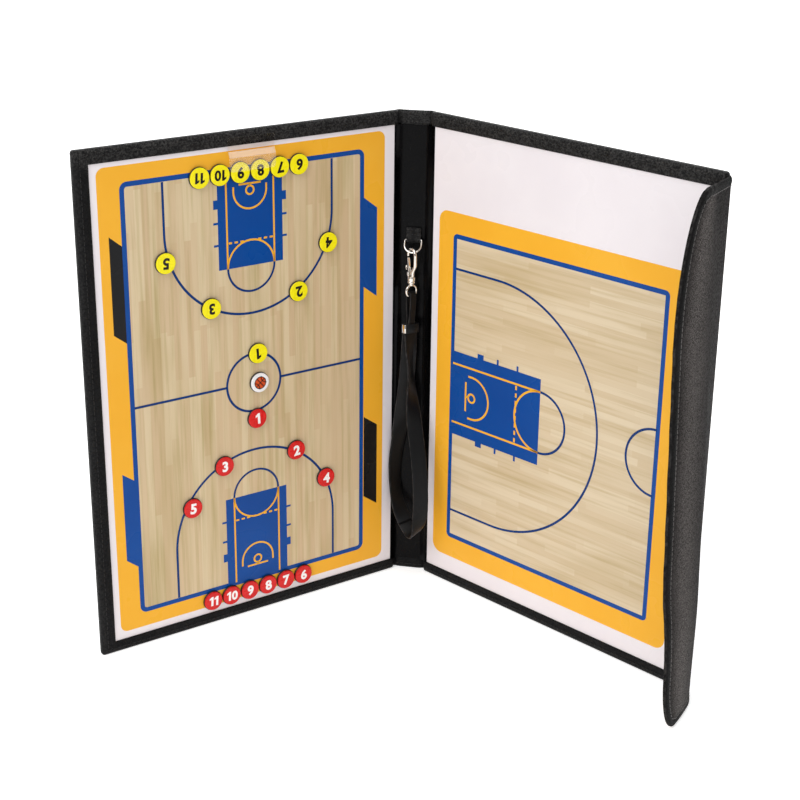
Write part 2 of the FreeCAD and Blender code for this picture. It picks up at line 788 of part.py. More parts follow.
def gate_parts():
    """Thumb gate on its pin, with the leaf spring that keeps it shut."""
    pivot_z = "(-hook_length + lug_height)"
    bow = "(claw_radius + claw_wire / 2)"
    tip_z = "(ring_wire / 2 + claw_clearance - claw_radius - beak_drop - gate_tip_gap)"
    slope = f"((lug_reach - {bow}) / ({tip_z} - {pivot_z}))"

    def lever(rise, offset):
        return (f"-lug_reach + {slope} * ({rise}) + ({offset})", f"{pivot_z} + {rise}")

    half = "gate_width / 2"
    top = f"({tip_z} - {pivot_z})"
    outline = [
        lever("0", half),
        lever(top, half),
        lever(top, f"-{half}"),
        lever("(nub_foot + nub_height)", f"-{half}"),
        lever("(nub_foot + 0.7 * nub_height)", f"-{half} - nub_reach"),
        lever("(nub_foot + 0.25 * nub_height)", f"-{half} - 0.8 * nub_reach"),
        lever("nub_foot", f"-{half}"),
        lever("0", f"-{half}"),
    ]
    blade = padded_profile("gate_blade", outline, "gate_thickness", "-gate_thickness / 2")
    blade.Placement = Placement(Vector(), Rotation(X_AXIS, 90))
    pivot = ("-lug_reach", "-gate_thickness / 2", pivot_z)
    boss = rod("gate_boss_round", "gate_boss / 2", "gate_thickness", pivot, ALONG_Y)
    hole = rod(
        "gate_hole",
        "pin_diameter / 2 + pin_fit",
        f"gate_thickness + 2 * {OVERCUT}",
        ("-lug_reach", f"-gate_thickness / 2 - {OVERCUT}", pivot_z),
        ALONG_Y,
    )
    node(hook_seat(cut("hook_gate", fuse("gate_lever", [blade, boss]), [hole])), "hook_gate")

    lug_side = ("-lug_reach", "-lug_thickness / 2", pivot_z)
    pin = rod("pin_rod", "pin_diameter / 2", "lug_thickness", lug_side, ALONG_Y)
    node(hook_seat(compound("gate_pin", [pin])), "gate_pin")

    foot_z = size("barrel_height") - size("hook_length") + size("pin_fit")
    bow_size = size("claw_radius") + size("claw_wire") / 2
    gate_top = size("ring_wire") / 2 + size("claw_clearance") - size("claw_radius") - size("beak_drop")
    gate_top -= size("gate_tip_gap")
    gate_low = size("lug_height") - size("hook_length")
    slant = (bow_size - size("lug_reach")) / (gate_top - gate_low)
    leaf_top = foot_z + size("spring_height")
    behind_gate = -size("lug_reach") - slant * (leaf_top - gate_low) + size("gate_width") / 2
    leaf_end = behind_gate + size("spring_leaf") / 2 + size("pin_fit")
    leaf = strip_face(
        [
            Vector(-size("spring_foot"), 0, foot_z),
            Vector(-size("spring_foot"), 0, foot_z + size("spring_leaf")),
            Vector(leaf_end, 0, leaf_top),
        ],
        [2 * size("spring_leaf")],
        size("spring_leaf"),
        -Y_AXIS,
    )
    leaf.translate(Y_AXIS * (-size("spring_width") / 2))
    node(hook_seat(feature("gate_spring", leaf.extrude(Y_AXIS * size("spring_width")))), "gate_spring")


def swivel_eye():
    """Eye with a headed stem that turns in the barrel of the hook."""
    top = "(-hook_length + barrel_floor + stem_fit)"
    collar_foot = "(-hook_length - swivel_gap - collar_height)"
    stem = rod("eye_stem", "stem_diameter / 2", f"{top} - {collar_foot}", ("0", "0", collar_foot))
    head = rod("eye_head", "stem_head / 2", "head_height", ("0", "0", top))
    collar = rod("eye_collar", "collar_diameter / 2", "collar_height", ("0", "0", collar_foot))
    section = put(wire_section("eye_section", "eye_wire"), "0", "eye_radius", f"-{EYE_DROP}")
    ring = doc.addObject("Part::Revolution", "eye_ring")
    ring.Source = section
    ring.Axis = X_AXIS
    ring.setExpression("Base.z", bound(f"-{EYE_DROP}"))
    ring.Solid = True
    made = fuse("swivel_eye", [stem, head, collar, ring])
    put(made, "hang_offset", f"-{HOOK_DEPTH}", HOOK_HEIGHT)
    return node(turn(made, Z_AXIS, "-strap_turn"), "swivel_eye")


def strap_seat(thing):
    """Hang a piece of the wrist strap on the lower wire of the swivel eye, leaning forward."""
    put(thing, "hang_offset", f"-{HOOK_DEPTH}", f"{HOOK_HEIGHT} - {EYE_DROP} - eye_radius")
    lean = Rotation(X_AXIS, -size("strap_lean"))
    base = thing.Placement.Base
    thing.Placement = Placement(base, lean.multiply(Rotation(Z_AXIS, -size("strap_turn"))))
    return thing


def band(name, route, radii, thickness, width):
    """Flat band that follows a route in the XZ plane."""
    points = [Vector(across, 0, up) for across, up in route]
    radii = radii or arc_radii(points)
    face = strip_face(points, radii, thickness, -Y_AXIS)
    face.translate(Y_AXIS * (-width / 2))
    made = feature(name, face.extrude(Y_AXIS * width))
    length = sum(edge.Length for edge in rounded_edges(points, radii))
    share = made.Shape.Volume / (length * thickness * width)
    print(name, "length", round(length, 1), "volume over section times length", round(share, 4))
    print(name, "radii", [round(radius, 1) for radius in radii])
    return node(strap_seat(made), name)


def strap_crimp():
    """Flat metal clip pressed over the strap's ends and its neck, open along one edge."""
    half_depth = "(strap_thickness + strand_gap / 2 + crimp_fit)"
    half_width = "(strap_width / 2 + crimp_fit)"
    foot = "-crimp_drop - crimp_height"
    shell = block(
        "crimp_shell",
        (f"-{half_depth} - crimp_wall", f"-{half_width} - crimp_wall", foot),
        (f"2 * ({half_depth} + crimp_wall)", "crimp_wall + crimp_reach", "crimp_height"),
    )
    slot = block(
        "crimp_slot",
        (f"-{half_depth}", f"-{half_width}", f"{foot} - {OVERCUT}"),
        (f"2 * {half_depth}", f"2 * {half_width}", f"crimp_height + 2 * {OVERCUT}"),
    )
    return node(strap_seat(cut("strap_crimp", shell, [slot])), "strap_crimp")


spine_leather()
spine_stiffener()
spine_lining()
cover_leather("left", 1)
cover_boards("left", 1)
cover_leather("right", -1)
cover_boards("right", -1)
flap_strip()
flap_tongue()
clear_tab()
strap_loop()
d_ring()
hook_body()
gate_parts()
swivel_eye()
band("wrist_strap", STRAP_ROUTE, None, size("strap_thickness"), size("strap_width"))
band("strap_neck", NECK_ROUTE, NECK_RADII, size("neck_thickness"), size("neck_width"))
strap_crimp()
disc_team("yellow", YELLOW_DISCS, "cover_height - border - top_row_drop")
disc_team("red", RED_DISCS, "border + bottom_row_rise")
disc("ball_disc", f"{FIELD_MIDDLE} + ({BALL_DISC[0]})", f"cover_height / 2 + ({BALL_DISC[1]})")

doc.recompute()
failed = [thing.Name for thing in doc.Objects if {"Invalid", "Error"} & set(thing.State)]
if failed:
    raise RuntimeError(f"objects that failed: {failed}")
for thing in finished:
    if thing.Shape.isNull() or not thing.Shape.isValid() or not thing.Shape.Solids:
        raise RuntimeError(f"no valid solid in {thing.Label}")

os.makedirs("parts", exist_ok=True)
for thing in finished:
    thing.Shape.exportStep(f"parts/{thing.Label}.step")
    print(f"{thing.Label:24s} solids {len(thing.Shape.Solids)}  volume {thing.Shape.Volume:10.1f}")
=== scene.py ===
import json
import math

import bpy
from mathutils import Matrix, Vector, noise
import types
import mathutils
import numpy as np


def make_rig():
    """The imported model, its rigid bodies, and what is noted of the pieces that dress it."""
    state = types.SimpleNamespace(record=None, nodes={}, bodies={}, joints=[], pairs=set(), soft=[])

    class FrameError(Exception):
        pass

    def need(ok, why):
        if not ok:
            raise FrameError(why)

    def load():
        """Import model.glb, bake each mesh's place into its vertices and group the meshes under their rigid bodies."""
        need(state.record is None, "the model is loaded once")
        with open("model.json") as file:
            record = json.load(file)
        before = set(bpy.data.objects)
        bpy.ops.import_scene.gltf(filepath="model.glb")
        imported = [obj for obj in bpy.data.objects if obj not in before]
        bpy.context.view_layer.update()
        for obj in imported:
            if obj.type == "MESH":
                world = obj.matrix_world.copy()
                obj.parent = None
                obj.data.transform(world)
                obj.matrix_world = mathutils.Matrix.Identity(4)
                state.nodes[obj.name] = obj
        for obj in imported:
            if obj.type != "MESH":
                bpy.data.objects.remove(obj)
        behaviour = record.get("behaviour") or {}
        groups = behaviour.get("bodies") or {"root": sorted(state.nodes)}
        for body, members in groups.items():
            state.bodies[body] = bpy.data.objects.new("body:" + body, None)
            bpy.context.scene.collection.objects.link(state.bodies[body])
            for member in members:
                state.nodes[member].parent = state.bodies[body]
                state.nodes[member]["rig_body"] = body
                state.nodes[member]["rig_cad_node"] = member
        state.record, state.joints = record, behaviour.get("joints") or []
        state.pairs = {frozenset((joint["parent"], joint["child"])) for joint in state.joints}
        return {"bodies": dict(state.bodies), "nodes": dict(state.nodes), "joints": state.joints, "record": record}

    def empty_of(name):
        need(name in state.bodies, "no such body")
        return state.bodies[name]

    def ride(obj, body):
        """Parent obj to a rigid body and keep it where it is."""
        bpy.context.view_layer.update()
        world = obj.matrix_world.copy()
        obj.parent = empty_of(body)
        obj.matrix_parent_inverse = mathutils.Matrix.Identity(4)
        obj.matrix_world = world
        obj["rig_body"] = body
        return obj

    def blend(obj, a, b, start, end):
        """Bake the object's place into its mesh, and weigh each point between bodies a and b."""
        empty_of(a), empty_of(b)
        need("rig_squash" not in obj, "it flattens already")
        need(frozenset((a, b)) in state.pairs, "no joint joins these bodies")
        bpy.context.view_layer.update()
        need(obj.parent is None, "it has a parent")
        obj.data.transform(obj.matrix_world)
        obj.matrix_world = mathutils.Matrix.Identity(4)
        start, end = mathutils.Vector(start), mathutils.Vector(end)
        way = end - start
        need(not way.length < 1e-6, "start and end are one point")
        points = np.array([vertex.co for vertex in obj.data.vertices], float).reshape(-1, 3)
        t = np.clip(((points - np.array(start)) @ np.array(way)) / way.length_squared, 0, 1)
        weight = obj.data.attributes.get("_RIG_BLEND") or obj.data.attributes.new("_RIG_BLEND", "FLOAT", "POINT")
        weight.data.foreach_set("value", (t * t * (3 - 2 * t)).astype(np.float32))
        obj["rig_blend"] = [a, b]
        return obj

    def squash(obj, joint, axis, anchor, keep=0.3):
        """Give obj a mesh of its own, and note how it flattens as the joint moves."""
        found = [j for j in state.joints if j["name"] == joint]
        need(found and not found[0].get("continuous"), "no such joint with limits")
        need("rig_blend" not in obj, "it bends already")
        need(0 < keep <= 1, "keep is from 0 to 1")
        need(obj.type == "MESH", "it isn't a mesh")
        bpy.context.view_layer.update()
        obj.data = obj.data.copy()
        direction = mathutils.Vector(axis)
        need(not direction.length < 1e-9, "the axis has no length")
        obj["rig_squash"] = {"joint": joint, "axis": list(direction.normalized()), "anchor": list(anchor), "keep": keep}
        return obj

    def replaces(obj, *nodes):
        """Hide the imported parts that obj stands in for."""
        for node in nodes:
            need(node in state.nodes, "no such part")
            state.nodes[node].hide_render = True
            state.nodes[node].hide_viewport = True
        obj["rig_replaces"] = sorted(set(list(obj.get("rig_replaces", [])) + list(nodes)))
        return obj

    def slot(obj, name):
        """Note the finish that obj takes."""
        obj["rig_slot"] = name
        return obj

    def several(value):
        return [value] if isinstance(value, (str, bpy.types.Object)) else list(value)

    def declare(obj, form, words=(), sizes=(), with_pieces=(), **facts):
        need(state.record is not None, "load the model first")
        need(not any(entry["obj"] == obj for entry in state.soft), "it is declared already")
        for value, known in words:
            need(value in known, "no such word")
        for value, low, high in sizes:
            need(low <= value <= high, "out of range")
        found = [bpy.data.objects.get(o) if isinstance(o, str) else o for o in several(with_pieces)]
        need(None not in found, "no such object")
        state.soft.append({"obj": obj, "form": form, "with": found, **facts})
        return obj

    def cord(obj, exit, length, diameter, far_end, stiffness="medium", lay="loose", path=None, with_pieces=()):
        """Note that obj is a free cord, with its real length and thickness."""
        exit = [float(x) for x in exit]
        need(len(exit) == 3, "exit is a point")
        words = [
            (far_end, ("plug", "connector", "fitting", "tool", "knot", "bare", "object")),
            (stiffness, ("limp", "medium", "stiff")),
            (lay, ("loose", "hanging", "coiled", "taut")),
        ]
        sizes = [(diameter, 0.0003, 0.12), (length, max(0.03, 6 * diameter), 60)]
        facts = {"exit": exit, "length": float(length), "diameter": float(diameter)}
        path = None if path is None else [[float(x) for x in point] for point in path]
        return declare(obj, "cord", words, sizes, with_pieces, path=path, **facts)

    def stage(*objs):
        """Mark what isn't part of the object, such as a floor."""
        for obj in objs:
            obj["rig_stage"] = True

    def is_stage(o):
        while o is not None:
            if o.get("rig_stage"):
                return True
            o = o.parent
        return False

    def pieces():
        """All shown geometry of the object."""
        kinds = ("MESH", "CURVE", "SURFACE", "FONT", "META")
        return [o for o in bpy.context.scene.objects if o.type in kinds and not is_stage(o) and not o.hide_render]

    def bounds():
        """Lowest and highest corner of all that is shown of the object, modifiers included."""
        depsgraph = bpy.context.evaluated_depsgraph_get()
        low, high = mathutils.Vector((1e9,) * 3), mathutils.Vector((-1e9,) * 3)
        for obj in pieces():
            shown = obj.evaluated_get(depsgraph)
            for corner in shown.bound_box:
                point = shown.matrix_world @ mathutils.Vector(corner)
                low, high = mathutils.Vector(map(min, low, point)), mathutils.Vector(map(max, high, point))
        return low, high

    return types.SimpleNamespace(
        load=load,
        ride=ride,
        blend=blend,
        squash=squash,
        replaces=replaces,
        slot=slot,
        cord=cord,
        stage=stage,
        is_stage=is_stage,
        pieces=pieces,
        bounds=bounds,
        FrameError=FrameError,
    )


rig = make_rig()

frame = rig.load()
cad_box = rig.bounds()

# Driving sizes, in millimetres and degrees. Points are worked out in millimetres and set
# into the scene in metres.
MM = 0.001
COVER_HEIGHT = 316.2
FIELD_HEAD = 307.5
COVER_REACH = {"left": 220.6, "right": 218.8}
FIELD_REACH = 211.5
HALF_SPINE = 11.0
FOLD_TURN = {"left": 45.5, "right": -33.76}
SIDE = {"left": -1, "right": 1}
BORDER = 7.5
COURT_FACE = 4.1
COVER_DEPTH = 5.0
SPINE_DEPTH = 3.4
FIELD_START = 5.35
FIELD_FOOT = 7.5
COVER_START = 8.0
EDGE_ROUND = 1.7
DISC_LIFT = 0.12
DISC_RADIUS = 6.5
DISC_DEPTH = 2.2
FLAP_FOLD = 219.5
STRIP_RUN = 21.4
TONGUE_LENGTH = 40.9
TONGUE_CURL = 221.0
FLAP_FOOT, FLAP_HEAD = 1.0, 314.0
RING_BAR = Vector((0.5, -4.45, 233.8))
HOOK_POINT = Vector((0.5, -9.702, 226.702))
HOOK_TURN = -46.0
EYE_POINT = Vector((0.5, -9.702, 197.702))
STRAP_TURN, STRAP_LEAN = -45.0, -3.5
UP = Vector((0, 0, 1))
RIGHT = Vector((1, 0, 0))
BACK = Vector((0, 1, 0))
ORIGIN = Vector((0, 0, 0))
WHITE = (1, 1, 1, 1)


def within(value, low, high):
    """Value held between two limits."""
    return min(max(value, low), high)


def between(start, end, steps):
    """Values from start to end in even steps, both ends included."""
    return [start + (end - start) * step / steps for step in range(steps + 1)]


def quarter_turn(steps):
    """Angles of a quarter turn in even steps, both ends included."""
    return between(0, math.pi / 2, steps)


def half_turn(steps=36):
    """Angles of half a turn in even steps, both ends included."""
    return between(0, math.pi, steps)


def full_turn(steps=40):
    """Angles of a full turn in even steps, without its end."""
    return between(0, 2 * math.pi, steps)[:-1]


def eased(keys, share):
    """Value between keyed shares, eased from key to key."""
    for (start, low), (end, high) in zip(keys, keys[1:]):
        if share <= end:
            part = (share - start) / (end - start)
            return low + (high - low) * part * part * (3 - 2 * part)
    return keys[-1][1]


def srgb(red, green, blue):
    """Linear colour of the usual 0 to 255 values."""
    shares = [value / 255 for value in (red, green, blue)]
    return [s / 12.92 if s <= 0.04045 else ((s + 0.055) / 1.055) ** 2.4 for s in shares] + [1.0]


def placed(x_axis, y_axis, z_axis, origin):
    """Matrix of a frame whose origin is given in millimetres."""
    turn = Matrix((x_axis, y_axis, z_axis)).transposed().to_4x4()
    return Matrix.Translation(Vector(origin) * MM) @ turn


def board_frame(name):
    """Frame of a cover: X across the board as read, Y up, Z out of its court, from the fold."""
    turn = math.radians(FOLD_TURN[name])
    across = Vector((math.cos(turn), math.sin(turn), 0))
    return placed(across, UP, across.cross(UP), (SIDE[name] * HALF_SPINE, 0, 0))


def hanging_frame(origin, turn, lean=0.0):
    """Frame of a hanging piece: Z up, turned about the upright and then leaning forward."""
    turned = Matrix.Rotation(math.radians(lean), 4, "X") @ Matrix.Rotation(math.radians(turn), 4, "Z")
    return Matrix.Translation(Vector(origin) * MM) @ turned


BOARDS = {name: board_frame(name) for name in SIDE}
HOOK_FRAME = hanging_frame(HOOK_POINT, HOOK_TURN)
EYE_FRAME = hanging_frame(HOOK_POINT, STRAP_TURN)
STRAP_FRAME = hanging_frame(EYE_POINT, STRAP_TURN, STRAP_LEAN)


class Mesher:
    """Points and faces of one piece, with the number of each face's finish and each point's rub, which holds edge wear
    and in places painted sheen.
    """

    def __init__(self):
        self.points, self.rubs, self.faces, self.finishes = [], [], [], []

    def add(self, points, faces, finish=0, rub=0.0):
        """Add points and faces, with one finish and rub for all or a list of them."""
        first = len(self.points)
        self.points += [Vector(point) for point in points]
        self.rubs += rub if isinstance(rub, list) else [rub] * len(points)
        self.faces += [[first + corner for corner in face] for face in faces]
        self.finishes += finish if isinstance(finish, list) else [finish] * len(faces)

    def piece(self, name, finishes, place=None, smooth=True):
        """Object with these points and faces, set into a frame."""
        mesh = bpy.data.meshes.new(name)
        mesh.from_pydata([point * MM for point in self.points], [], self.faces)
        for material in finishes:
            mesh.materials.append(material)
        mesh.polygons.foreach_set("material_index", self.finishes)
        mesh.polygons.foreach_set("use_smooth", [smooth] * len(self.faces))
        # The rub attribute holds edge wear, and the painted sheen of the flap's panel and of the covers' head border.
        rub = mesh.attributes.new("rub", "FLOAT", "POINT")
        rub.data.foreach_set("value", self.rubs)
        mesh.update()
        made = bpy.data.objects.new(name, mesh)
        bpy.context.scene.collection.objects.link(made)
        made.matrix_world = place or Matrix.Identity(4)
        return made


def grid_faces(rows, columns, ring=False, flip=False):
    """Quads of a grid of points, row by row, whose columns may close to a ring."""
    faces = []
    for row in range(rows - 1):
        for column in range(columns if ring else columns - 1):
            after = (column + 1) % columns
            corners = [row * columns + column, row * columns + after]
            corners += [(row + 1) * columns + after, (row + 1) * columns + column]
            faces.append(corners[::-1] if flip else corners)
    return faces


def capped_faces(rows, count, flip=False):
    """Quads of a ring of points carried along rows, with a face across each end."""
    caps = [list(range(count))[::-1], list(range((rows - 1) * count, rows * count))]
    if flip:
        caps = [cap[::-1] for cap in caps]
    return grid_faces(rows, count, ring=True, flip=flip) + caps


def skin_faces(rows, columns, flip=False):
    """Quads of a sheet's two skins. The points of the second skin follow those of the first."""
    total = rows * columns
    first = grid_faces(rows, columns, flip=flip)
    return first + [[total + corner for corner in face[::-1]] for face in first]


def on_arc(start, end, share):
    """Spoke part of the way between two spokes of the same length."""
    angle = start.angle(end)
    return (start * math.sin((1 - share) * angle) + end * math.sin(share * angle)) / math.sin(angle)


def bent_path(points, radii, steps=8):
    """Points of straight runs joined by tangent arcs, for rigid bent pieces."""
    path = [Vector(points[0])]
    for before, corner, after, radius in zip(points, points[1:-1], points[2:], radii):
        corner = Vector(corner)
        run_in = (corner - Vector(before)).normalized()
        run_out = (Vector(after) - corner).normalized()
        half = run_in.angle(run_out) / 2
        centre = corner + (run_out - run_in).normalized() * (radius / math.cos(half))
        start = corner - run_in * (radius * math.tan(half)) - centre
        end = corner + run_out * (radius * math.tan(half)) - centre
        for step in range(steps + 1):
            path.append(centre + on_arc(start, end, step / steps))
    path.append(Vector(points[-1]))
    return path


def path_tangents(path):
    """Direction of a path at each of its points."""
    tangents = []
    for index in range(len(path)):
        before = path[max(index - 1, 0)]
        after = path[min(index + 1, len(path) - 1)]
        tangents.append((after - before).normalized())
    return tangents


def along_shares(path):
    """Share of a path's length at each of its points, and that length."""
    walked = [0.0]
    for start, end in zip(path, path[1:]):
        walked.append(walked[-1] + (end - start).length)
    return [run / walked[-1] for run in walked], walked[-1]


def tube(mesher, path, radii, sides, across, closed=False):
    """Round wire along a path, with a radius for each point, its first side towards across."""
    if closed:
        path = [path[-1]] + path + [path[0]]
    tangents = path_tangents(path)
    if closed:
        path, tangents = path[1:-1], tangents[1:-1]
    points = []
    side = across
    for point, along, radius in zip(path, tangents, radii):
        side = (side - along * side.dot(along)).normalized()
        other = along.cross(side)
        for angle in full_turn(sides):
            points.append(point + (side * math.cos(angle) + other * math.sin(angle)) * radius)
    rows = len(path)
    if closed:
        last = (rows - 1) * sides
        faces = grid_faces(rows, sides, ring=True)
        faces += [[last + i, last + (i + 1) % sides, (i + 1) % sides, i] for i in range(sides)]
    else:
        faces = capped_faces(rows, sides)
    mesher.add(points, faces)


def lathe(mesher, profile, sides, finish=0, place=None):
    """Turned form about Z from (radius, height) pairs, foot first, set into a frame in millimetres."""
    place = place or Matrix.Identity(4)
    points = []
    for radius, height in profile:
        for angle in full_turn(sides):
            points.append(place @ Vector((radius * math.cos(angle), radius * math.sin(angle), height)))
    mesher.add(points, capped_faces(len(profile), sides), finish)


def swept(mesher, line, section, across, rubs=None):
    """Closed section carried along a bent line: offsets along one fixed direction and square to it."""
    rubs = rubs or [0.0] * len(section)
    points = []
    for point, along in zip(line, path_tangents(line)):
        out = across.cross(along)
        points += [point + across * wide + out * high for wide, high in section]
    mesher.add(points, capped_faces(len(line), len(section), flip=True), 0, rubs * len(line))


# Rings of a stitch: share of its length, then lift and width as shares of the thread's girth.
STITCH_RINGS = [(0, -0.35, 0.5), (0.14, 0.1, 0.9), (0.5, 0.3, 1), (0.86, 0.1, 0.9), (1, -0.35, 0.5)]
STITCH_SIDES = 6


def stitch(mesher, start, end, out, girth, finish):
    """One stitch of thread, which rises from its hole and dips into the next."""
    along = end - start
    side = along.cross(out).normalized()
    points = []
    for share, lift, swell in STITCH_RINGS:
        middle = start + along * share + out * (lift * girth)
        for angle in full_turn(STITCH_SIDES):
            ring = side * math.cos(angle) + out * math.sin(angle)
            points.append(middle + ring * (swell * girth / 2))
    mesher.add(points, grid_faces(len(STITCH_RINGS), STITCH_SIDES, ring=True), finish)


def stitch_line(mesher, path, outs, finish=1, pitch=3.3, length=2.5, girth=0.5):
    """Row of stitches along a path over a surface, given the surface's outward side at each point."""
    spots, walked = [], 0.0
    for start, end, out in zip(path, path[1:], outs):
        run = (end - start).length
        while walked < run:
            spots.append((start.lerp(end, walked / run), out, (end - start).normalized()))
            walked += pitch
        walked -= run
    for spot, out, along in spots:
        stitch(mesher, spot, spot + along * length, out, girth, finish)


def curve_mesh(name, data):
    """Points and faces of a curve's own mesh."""
    carrier = bpy.data.objects.new(name, data)
    bpy.context.scene.collection.objects.link(carrier)
    mesh = bpy.data.meshes.new_from_object(carrier)
    points = [vertex.co.copy() for vertex in mesh.vertices]
    faces = [list(face.vertices) for face in mesh.polygons]
    bpy.data.objects.remove(carrier)
    bpy.data.meshes.remove(mesh)
    return points, faces


# Camera at the photograph's viewing angle.


def studio_camera():
    """Camera with the photograph's place, direction and field of view."""
    right = Vector((0.98201101, 0.18844042, 0.01202472))
    down = Vector((0.07959834, -0.35537755, -0.9313275))
    ahead = Vector((-0.17122643, 0.915531, -0.36398421))
    place = (178.402, -995.349, 517.674)
    sensor, focal_pixels, picture_pixels = 36.0, 1636.528, 800
    data = bpy.data.cameras.new("studio_camera")
    data.sensor_width = sensor
    data.lens = sensor * focal_pixels / picture_pixels
    data.clip_end = 20.0
    made = bpy.data.objects.new("studio_camera", data)
    bpy.context.scene.collection.objects.link(made)
    made.matrix_world = placed(right, -down, -ahead, place)
    bpy.context.scene.camera = made


studio_camera()


# Shader groups that several finishes share.


def plug(tree, value, socket):
    """Set a socket, or link it where the value is another node's output."""
    if isinstance(value, bpy.types.NodeSocket):
        tree.links.new(value, socket)
    else:
        socket.default_value = value


def shader(tree, kind, inputs=None, **settings):
    """New shader node with its settings and its inputs, by name or number."""
    made = tree.nodes.new("ShaderNode" + kind)
    for name, value in settings.items():
        setattr(made, name, value)
    for name, value in (inputs or {}).items():
        plug(tree, value, made.inputs[name])
    return made


def maths(tree, operation, first, second=0.0, third=0.0):
    """Output of one sum on two or three values."""
    return shader(tree, "Math", {0: first, 1: second, 2: third}, operation=operation).outputs[0]


def spread(tree, value, low, high, to_low=0.0, to_high=1.0):
    """Value moved smoothly from one range to another."""
    inputs = {"Value": value, "From Min": low, "From Max": high, "To Min": to_low, "To Max": to_high}
    return shader(tree, "MapRange", inputs, interpolation_type="SMOOTHSTEP").outputs["Result"]


def mixed(tree, factor, first, second):
    """Colour mixed from two."""
    made = shader(tree, "Mix", {0: factor}, data_type="RGBA")
    colours = [socket for socket in made.inputs if socket.type == "RGBA"]
    plug(tree, first, colours[0])
    plug(tree, second, colours[1])
    return next(socket for socket in made.outputs if socket.type == "RGBA")


def speckle(tree, vector, scale, detail=3.0, roughness=0.55):
    """Noise value over a surface."""
    inputs = {"Vector": vector, "Scale": scale, "Detail": detail, "Roughness": roughness}
    return shader(tree, "TexNoise", inputs).outputs["Fac"]


def stretched(tree, vector, scales):
    """Place drawn out along its axes."""
    return shader(tree, "VectorMath", {0: vector, 1: scales}, operation="MULTIPLY").outputs[0]


def local_place(tree):
    """Point of the surface in the piece's own frame, in metres."""
    return shader(tree, "TexCoord").outputs["Object"]


def new_group(name, inputs, outputs):
    """Empty shader group with named inputs and outputs."""
    tree = bpy.data.node_groups.new(name, "ShaderNodeTree")
    for label, kind, value in inputs:
        socket = tree.interface.new_socket(label, in_out="INPUT", socket_type="NodeSocket" + kind)
        socket.default_value = value
    for label, kind in outputs:
        tree.interface.new_socket(label, in_out="OUTPUT", socket_type="NodeSocket" + kind)
    return tree, tree.nodes.new("NodeGroupInput").outputs, tree.nodes.new("NodeGroupOutput").inputs


def pebble_grain_group():
    """Pebbled leather grain: height for the bump, and a tone that drifts over the hide."""
    inputs = [("Pebbles", "Float", 900.0), ("Fineness", "Float", 0.3)]
    tree, given, put_out = new_group("pebble_grain", inputs, [("Height", "Float"), ("Tone", "Float")])
    place = local_place(tree)
    drift = shader(tree, "TexNoise", {"Vector": place, "Scale": 260.0, "Detail": 2.0}).outputs["Color"]
    shift = shader(tree, "VectorMath", {0: drift, "Scale": 0.0012}, operation="SCALE").outputs[0]
    warped = shader(tree, "VectorMath", {0: place, 1: shift}, operation="ADD").outputs[0]
    pebbles = {"Vector": warped, "Scale": given["Pebbles"]}
    cells = shader(tree, "TexVoronoi", pebbles, feature="SMOOTH_F1")
    coarse = spread(tree, cells.outputs["Distance"], 0.15, 0.75, 1.0, 0.0)
    dense = maths(tree, "MULTIPLY", given["Pebbles"], 2.6)
    fine_cells = shader(tree, "TexVoronoi", {"Vector": warped, "Scale": dense}, feature="F1")
    fine = spread(tree, fine_cells.outputs["Distance"], 0.1, 0.8, 1.0, 0.0)
    share = maths(tree, "MULTIPLY", fine, given["Fineness"])
    plug(tree, maths(tree, "ADD", coarse, share), put_out["Height"])
    plug(tree, speckle(tree, place, 28.0, 4.0), put_out["Tone"])
    return tree


def rubbed_edge_group():
    """Mask of worn places and painted sheen: the rub painted on a piece's edges and the painted sheen on the flap's
    panel and the covers' head border, broken up by scuffs.
    """
    tree, given, put_out = new_group("rub_and_sheen", [("Scuffs", "Float", 320.0)], [("Mask", "Float")])
    rub = shader(tree, "Attribute", attribute_name="rub").outputs["Fac"]
    scuffs = speckle(tree, local_place(tree), given["Scuffs"], 5.0, 0.65)
    broken = spread(tree, scuffs, 0.38, 0.68)
    plug(tree, maths(tree, "MULTIPLY", rub, broken), put_out["Mask"])
    return tree


def ink_print_group():
    """Printed ink: its colour slightly uneven, with the film's roughness and a fine tooth."""
    inputs = [("Ink", "Color", WHITE), ("Shade", "Color", WHITE)]
    outputs = [("Color", "Color"), ("Roughness", "Float"), ("Height", "Float")]
    tree, given, put_out = new_group("ink_print", inputs, outputs)
    place = local_place(tree)
    cloud = spread(tree, speckle(tree, place, 22.0, 3.0), 0.3, 0.75)
    tooth = speckle(tree, place, 2600.0, 2.0)
    uneven = maths(tree, "MULTIPLY_ADD", tooth, 0.3, maths(tree, "MULTIPLY", cloud, 0.7))
    plug(tree, mixed(tree, uneven, given["Ink"], given["Shade"]), put_out["Color"])
    plug(tree, spread(tree, cloud, 0.0, 1.0, 0.26, 0.36), put_out["Roughness"])
    plug(tree, tooth, put_out["Height"])
    return tree


